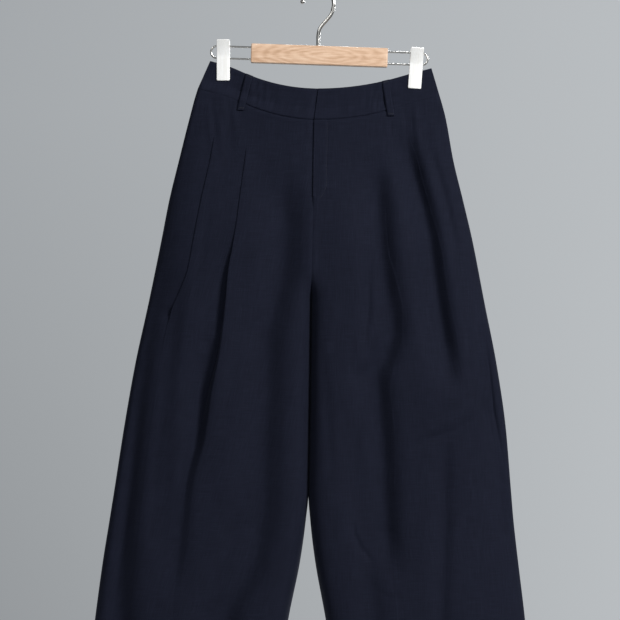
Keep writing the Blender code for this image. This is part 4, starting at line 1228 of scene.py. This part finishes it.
def make_rail(side, finish):
    """A rail is one wire: out of the bar's end, round a half circle, and back in below."""
    bend = 0.5 * RAIL_SPACING
    start = 0.5 * BAR_LENGTH - 0.0004
    turn_at = RAIL_REACH - bend
    straight = np.linspace(start, turn_at, 12)[:-1]
    angle = np.linspace(-0.5 * math.pi, 0.5 * math.pi, 41)
    x = np.concatenate([straight, turn_at + bend * np.cos(angle), straight[::-1]])
    level = np.full(len(straight), bend)
    drop = np.concatenate([-level, bend * np.sin(angle), level])
    path = tilted(SIDES[side] * x, drop)
    return tube(f"wire_rail_{side}", path, np.full(len(path), RAIL_RADIUS), finish, 18)


def make_hook(finish):
    """The hook: a ball on its tip, about half a circle, the neck and the stem, as
    one wire whose radius follows the ball's circle at the start."""
    first, last = (math.radians(a) for a in HOOK_ARC)
    middle_drop = HOOK_BEND - HOOK_RADIUS
    angle = np.linspace(first, last, 121)
    arc = np.stack([HOOK_BEND * np.cos(angle), middle_drop - HOOK_BEND * np.sin(angle)], axis=-1)
    bar_top = BAR_CENTRE[1] - BAR_CENTRE[0] * math.tan(HANGER_TILT)
    bar_top = bar_top - 0.5 * BAR_HEIGHT / math.cos(HANGER_TILT)
    knots = np.array([arc[-1], *HOOK_NECK, (0.0, bar_top + 0.0002)])
    lengths = np.concatenate([[0.0], np.cumsum(np.linalg.norm(np.diff(knots, axis=0), axis=1))])
    along = np.linspace(0.0, lengths[-1], 61)[1:]
    neck = np.stack([through(along, lengths, knots[:, k]) for k in range(2)], axis=-1)
    path = np.concatenate([arc, neck])
    heading = path[0] - path[1]
    heading /= np.linalg.norm(heading)
    ball = math.acos(-math.sqrt(1.0 - (HOOK_RADIUS / HOOK_TIP_RADIUS) ** 2))
    theta = np.linspace(0.06, ball, 14)
    back = HOOK_TIP_RADIUS * np.cos(theta)
    tip = path[0] + back[:, None] * heading
    kept = np.linalg.norm(path - path[0], axis=1) > -back[-1] + 0.0004
    kept[: np.argmax(kept)] = False
    kept[np.argmax(kept) :] = True
    path = np.concatenate([tip, path[kept]])
    radii = np.concatenate([HOOK_TIP_RADIUS * np.sin(theta), np.full(kept.sum(), HOOK_RADIUS)])
    return tube("wire_hook", path, radii, finish, 24)


def make_bar(finish):
    """The bar: a rounded rectangle carried along it, drawn in at both ends."""
    x = crowded(-0.5 * BAR_LENGTH, 0.5 * BAR_LENGTH, BAR_ROUNDING, 60)
    less = 2.0 * end_round(x, BAR_ROUNDING)
    corner = np.maximum(BAR_ROUNDING - 0.5 * less, 0.0003)
    loop = rounded_loop(BAR_DEPTH - less, BAR_HEIGHT - less, corner, 5)
    return carried_along("wooden_bar", x, loop, finish)


def make_jaw(side, face, finish):
    """A jaw: a thin rounded rectangle carried up the jaw's side view, straight where it
    grips and flared at the top, with round corners at both ends."""
    x, drop, lean = CLIPS[side]
    height = crowded(-0.5 * JAW_HEIGHT, 0.5 * JAW_HEIGHT, JAW_CORNER, 46)
    bend = (0.5 - JAW_BEND) * JAW_HEIGHT
    flare = JAW_FLARE * (np.clip(height - bend, 0.0, None) / (JAW_BEND * JAW_HEIGHT)) ** 1.3
    out = JAW_GRIP + 0.5 * JAW_PLATE + flare
    slope = np.gradient(out, height)
    square = 1.0 / np.sqrt(1.0 + slope**2)
    thick = JAW_PLATE - 2.0 * end_round(height, JAW_EDGE)
    wide = JAW_WIDTH - 2.0 * end_round(height, JAW_CORNER)
    loop = rounded_loop(wide, thick, np.clip(0.42 * thick, 0.0001, 0.0007), 4)
    sideways = loop[..., 0]
    forward = out[:, None] + loop[..., 1] * square[:, None]
    up = height[:, None] - loop[..., 1] * (slope * square)[:, None]
    c, s = math.cos(lean), math.sin(lean)
    place_x, place_z = x + c * sideways + s * up, -drop - s * sideways + c * up
    rings = np.stack([place_x, FACES[face] * forward, place_z], axis=-1)
    return make_tubes(f"clip_plate_{side}_{face}", rings[None], finish)


def make_core(side, finish):
    """The spring housing between the rails: a rounded block with shallow grooves round it."""
    height = RAIL_SPACING - 2.0 * RAIL_RADIUS - 2.0 * SEAM_GAP
    depth = 2.0 * (JAW_GRIP - SEAM_GAP)
    x = crowded(-0.5 * CORE_WIDTH, 0.5 * CORE_WIDTH, CORE_ROUNDING, 60)
    turns = CORE_GROOVES * (x / CORE_WIDTH + 0.5)
    groove = CORE_GROOVE_DEPTH * (0.5 - 0.5 * np.cos(2.0 * math.pi * turns))
    less = 2.0 * end_round(x, CORE_ROUNDING) + groove
    loop = rounded_loop(depth - less, height - less, np.full(len(x), 0.0007), 4)
    along = (CLIPS[side][0] - BAR_CENTRE[0]) / math.cos(HANGER_TILT)
    return carried_along(f"clip_housing_{side}", along + x, loop, finish)


def fly_stitching(finish):
    """The fly's stitching: down beside the fly's edge and round to it, on the left front."""
    curve = FLY_STITCH
    turn_from = curve["end"] - curve["corner"]
    angle = np.linspace(0.0, 0.47 * math.pi, 30)
    straight = np.linspace(curve["begin"], turn_from, 61)[:-1]
    across = curve["across"] * np.concatenate([np.ones(len(straight)), np.cos(angle)])[:, None]
    drop = np.concatenate([straight, turn_from + curve["corner"] * np.sin(angle)])[:, None]
    middle = cloth_points(across, drop, drop, "left", "front", 0.0)[:, 0]
    out = np.broadcast_to(np.array([0.0, -1.0, 0.0]), middle.shape)
    return stitch_run("stitches_fly", middle + 0.5 * CLOTH * out, out, "fly", finish)


def hem_stitching(name, middle, rows, side, face, finish):
    """The hem's stitching, along the panel's row of points at the top of its turned hem."""
    start, end = panel_edges(side, face, middle)
    normal = SIDES[side] * FACES[face] * grid_normals(middle, start, end)
    k = int(np.argmin(abs(rows - HEM_STITCH)))
    places = (middle + 0.5 * CLOTH * normal)[k, 1:-1]
    return stitch_run(name, places, normal[k, 1:-1], "hem", finish)


def loop_stitching(name, middle, face, finish):
    """A bar of close stitches across each end of a belt loop."""
    out = np.array([0.0, FACES[face], 0.0])
    shares = crowded_shares(len(middle))
    pieces = []
    for down in LOOP_TACKS:
        row = int(np.argmin(abs(shares - down)))
        line = middle[row, 2:-2] + (0.5 * LOOP_WALL + 0.00005) * out
        for lift in TACK_ROWS:
            run = line + np.array([0.0, 0.0, lift])
            up = np.broadcast_to(out, run.shape)
            pieces.append(stitch_run(f"{name}_{len(pieces)}", run, up, "tack", finish))
    return join(pieces, name)


def join(pieces, name):
    """One mesh from several."""
    joined = pieces[0]
    with bpy.context.temp_override(active_object=joined, selected_editable_objects=pieces):
        bpy.ops.object.join()
    joined.name = name
    joined.data.name = name
    return joined


def make_panel(side, face, cloth, sewing):
    """A front or a back with its stitches."""
    if face == "front":
        middle, rows, band = front_panel(side), FRONT_ROWS, f"linen_band_front_{side}"
    else:
        middle, rows, band = back_panel(side), BACK_ROWS, "linen_band_back"
    edges = panel_edges(side, face, middle)
    piece = add_cloth(f"linen_{face}_{side}", middle, CLOTH, cloth, GRAIN_COLUMNS[face], *edges)
    stitches = [hem_stitching(f"stitches_hem_{face}_{side}", middle, rows, side, face, sewing)]
    if (side, face) == ("left", "front"):
        stitches.append(fly_stitching(sewing))
    for run in stitches:
        settle(run, "navy_linen")
    hang(piece, f"{face}_panel_{side}", stitches)


def make_trousers():
    """The panels, the waistband and the belt loops."""
    cloth, sewing = linen(), thread()
    to_right, to_left = (-1.0, 0.0, 0.0), (1.0, 0.0, 0.0)
    for side in SIDES:
        for face in FACES:
            make_panel(side, face, cloth, sewing)
        band = front_band(side)
        piece = add_cloth(f"linen_band_front_{side}", band, CLOTH, cloth, 0, None, to_right)
        hang(piece, f"waistband_front_{side}")
    band = back_band()
    piece = add_cloth("linen_band_back", band, CLOTH, cloth, band.shape[1] // 2, to_right, to_left)
    hang(piece, "waistband_back")
    for node, (face, x, lean) in BELT_LOOPS.items():
        strip = loop_points(face, x, lean)
        name = node.replace("belt_", "linen_")
        piece = add_cloth(name, strip, LOOP_WALL, cloth, strip.shape[1] // 2)
        tacks = loop_stitching(name.replace("linen", "stitches"), strip, face, sewing)
        hang(piece, node, [settle(tacks, "navy_linen")])


def make_hanger():
    """The bar, the hook, the rails and the clips."""
    wood, wire, plate = beech(), chrome(), satin_metal()
    settle(make_bar(wood), "beech", "hanger_bar")
    settle(make_hook(wire), "chrome_wire", "hanger_hook")
    for side in SIDES:
        settle(make_rail(side, wire), "chrome_wire", f"hanger_rail_{side}")
        settle(make_core(side, wire), "chrome_wire", f"clip_{side}_core")
        for face in FACES:
            settle(make_jaw(side, face, plate), "satin_clip", f"clip_{side}_{face}_jaw")


# Camera, lights, wall and floor

def aim(obj, target):
    """Turns a light to look at a place."""
    away = np.asarray(obj.location) - np.asarray(target, float)
    tip = math.atan2(math.hypot(away[0], away[1]), away[2])
    obj.rotation_euler = (tip, 0.0, math.atan2(away[0], -away[1]))


def make_camera():
    """The camera, level and straight in front."""
    eye = bpy.data.cameras.new("camera")
    eye.sensor_width = CAMERA["sensor"]
    eye.lens = CAMERA["lens"]
    camera = add_object("camera", eye, CAMERA["place"])
    camera.rotation_euler = (0.5 * math.pi, 0.0, 0.0)
    bpy.context.scene.camera = camera


def make_lights():
    """The discs of light."""
    for name, place, target, size, power in LIGHTS:
        lamp = bpy.data.lights.new(name, "AREA")
        lamp.shape = "DISK"
        lamp.size = size
        lamp.energy = power
        aim(add_object(name, lamp, place), target)


def make_wall():
    """The plain wall, as the world, with painted light and shade: paler to the right, where the
    light falls, and darker low on the left in painted shade. The camera sees it lit all round. For
    the rest it is bright behind the part, dim in front of it, and bright again straight in front,
    like a window."""
    world = bpy.data.worlds.new("plain wall")
    bpy.context.scene.world = world
    tree = Tree(world)
    direction = tree.add("TexCoord", "Generated", {})
    x, y, z = (tree.add("SeparateXYZ", axis, {0: direction}) for axis in "XYZ")
    # Painted light: the wall's colour runs paler to the right, where the light falls.
    rightward = tree.ranged(x, -0.16, 0.16)
    colour = tree.ramp(rightward, (0.0, 0.370, 0.390, 0.408), (1.0, 0.488, 0.512, 0.532))
    # Painted shade: low on the left the wall is dimmed by up to a fifth.
    low = tree.ranged(z, 0.10, -0.16)
    painted_shade_low_left = tree.math("MULTIPLY", tree.math("SUBTRACT", 1.0, rightward), low)
    shade = tree.math("MULTIPLY", painted_shade_low_left, 0.20)
    behind = tree.ranged(y, 0.05, 0.62, (0.16, 1.0))
    window = tree.ranged(y, -0.80, -0.94, (0.0, 1.5))
    seen = tree.add("LightPath", "Is Camera Ray", {})
    lit = tree.math("MAXIMUM", tree.math("ADD", behind, window), seen)
    lit = tree.math("MINIMUM", lit, tree.math("SUBTRACT", 2.0, seen))
    strength = tree.math("MULTIPLY", lit, tree.math("SUBTRACT", 1.0, shade))
    tree.feed(tree.nodes["Background"], {"Color": colour, "Strength": strength})


def make_floor():
    """A round floor with its edge turned down."""
    angle = np.linspace(0.0, 2.0 * math.pi, 97)[:-1]
    radius = FLOOR["radius"] * np.array([0.02, 0.3, 0.6, 0.9, 0.995, 1.0])[:, None]
    height = np.full((len(radius), len(angle)), FLOOR["height"])
    height[-1] -= FLOOR["lip"]
    points = np.stack([radius * np.cos(angle), radius * np.sin(angle), height], axis=-1)
    index = np.arange(height.size).reshape(height.shape)
    faces = np.concatenate([ring_walls(index)[:, [0, 3, 2, 1]], fan(index[0])])
    make_mesh("floor", points.reshape(-1, 3), faces, plain_floor())


make_trousers()
make_hanger()
make_camera()
make_wall()
make_lights()
make_floor()
view = bpy.context.scene.view_settings
view.view_transform = "Standard"
view.look = "None"
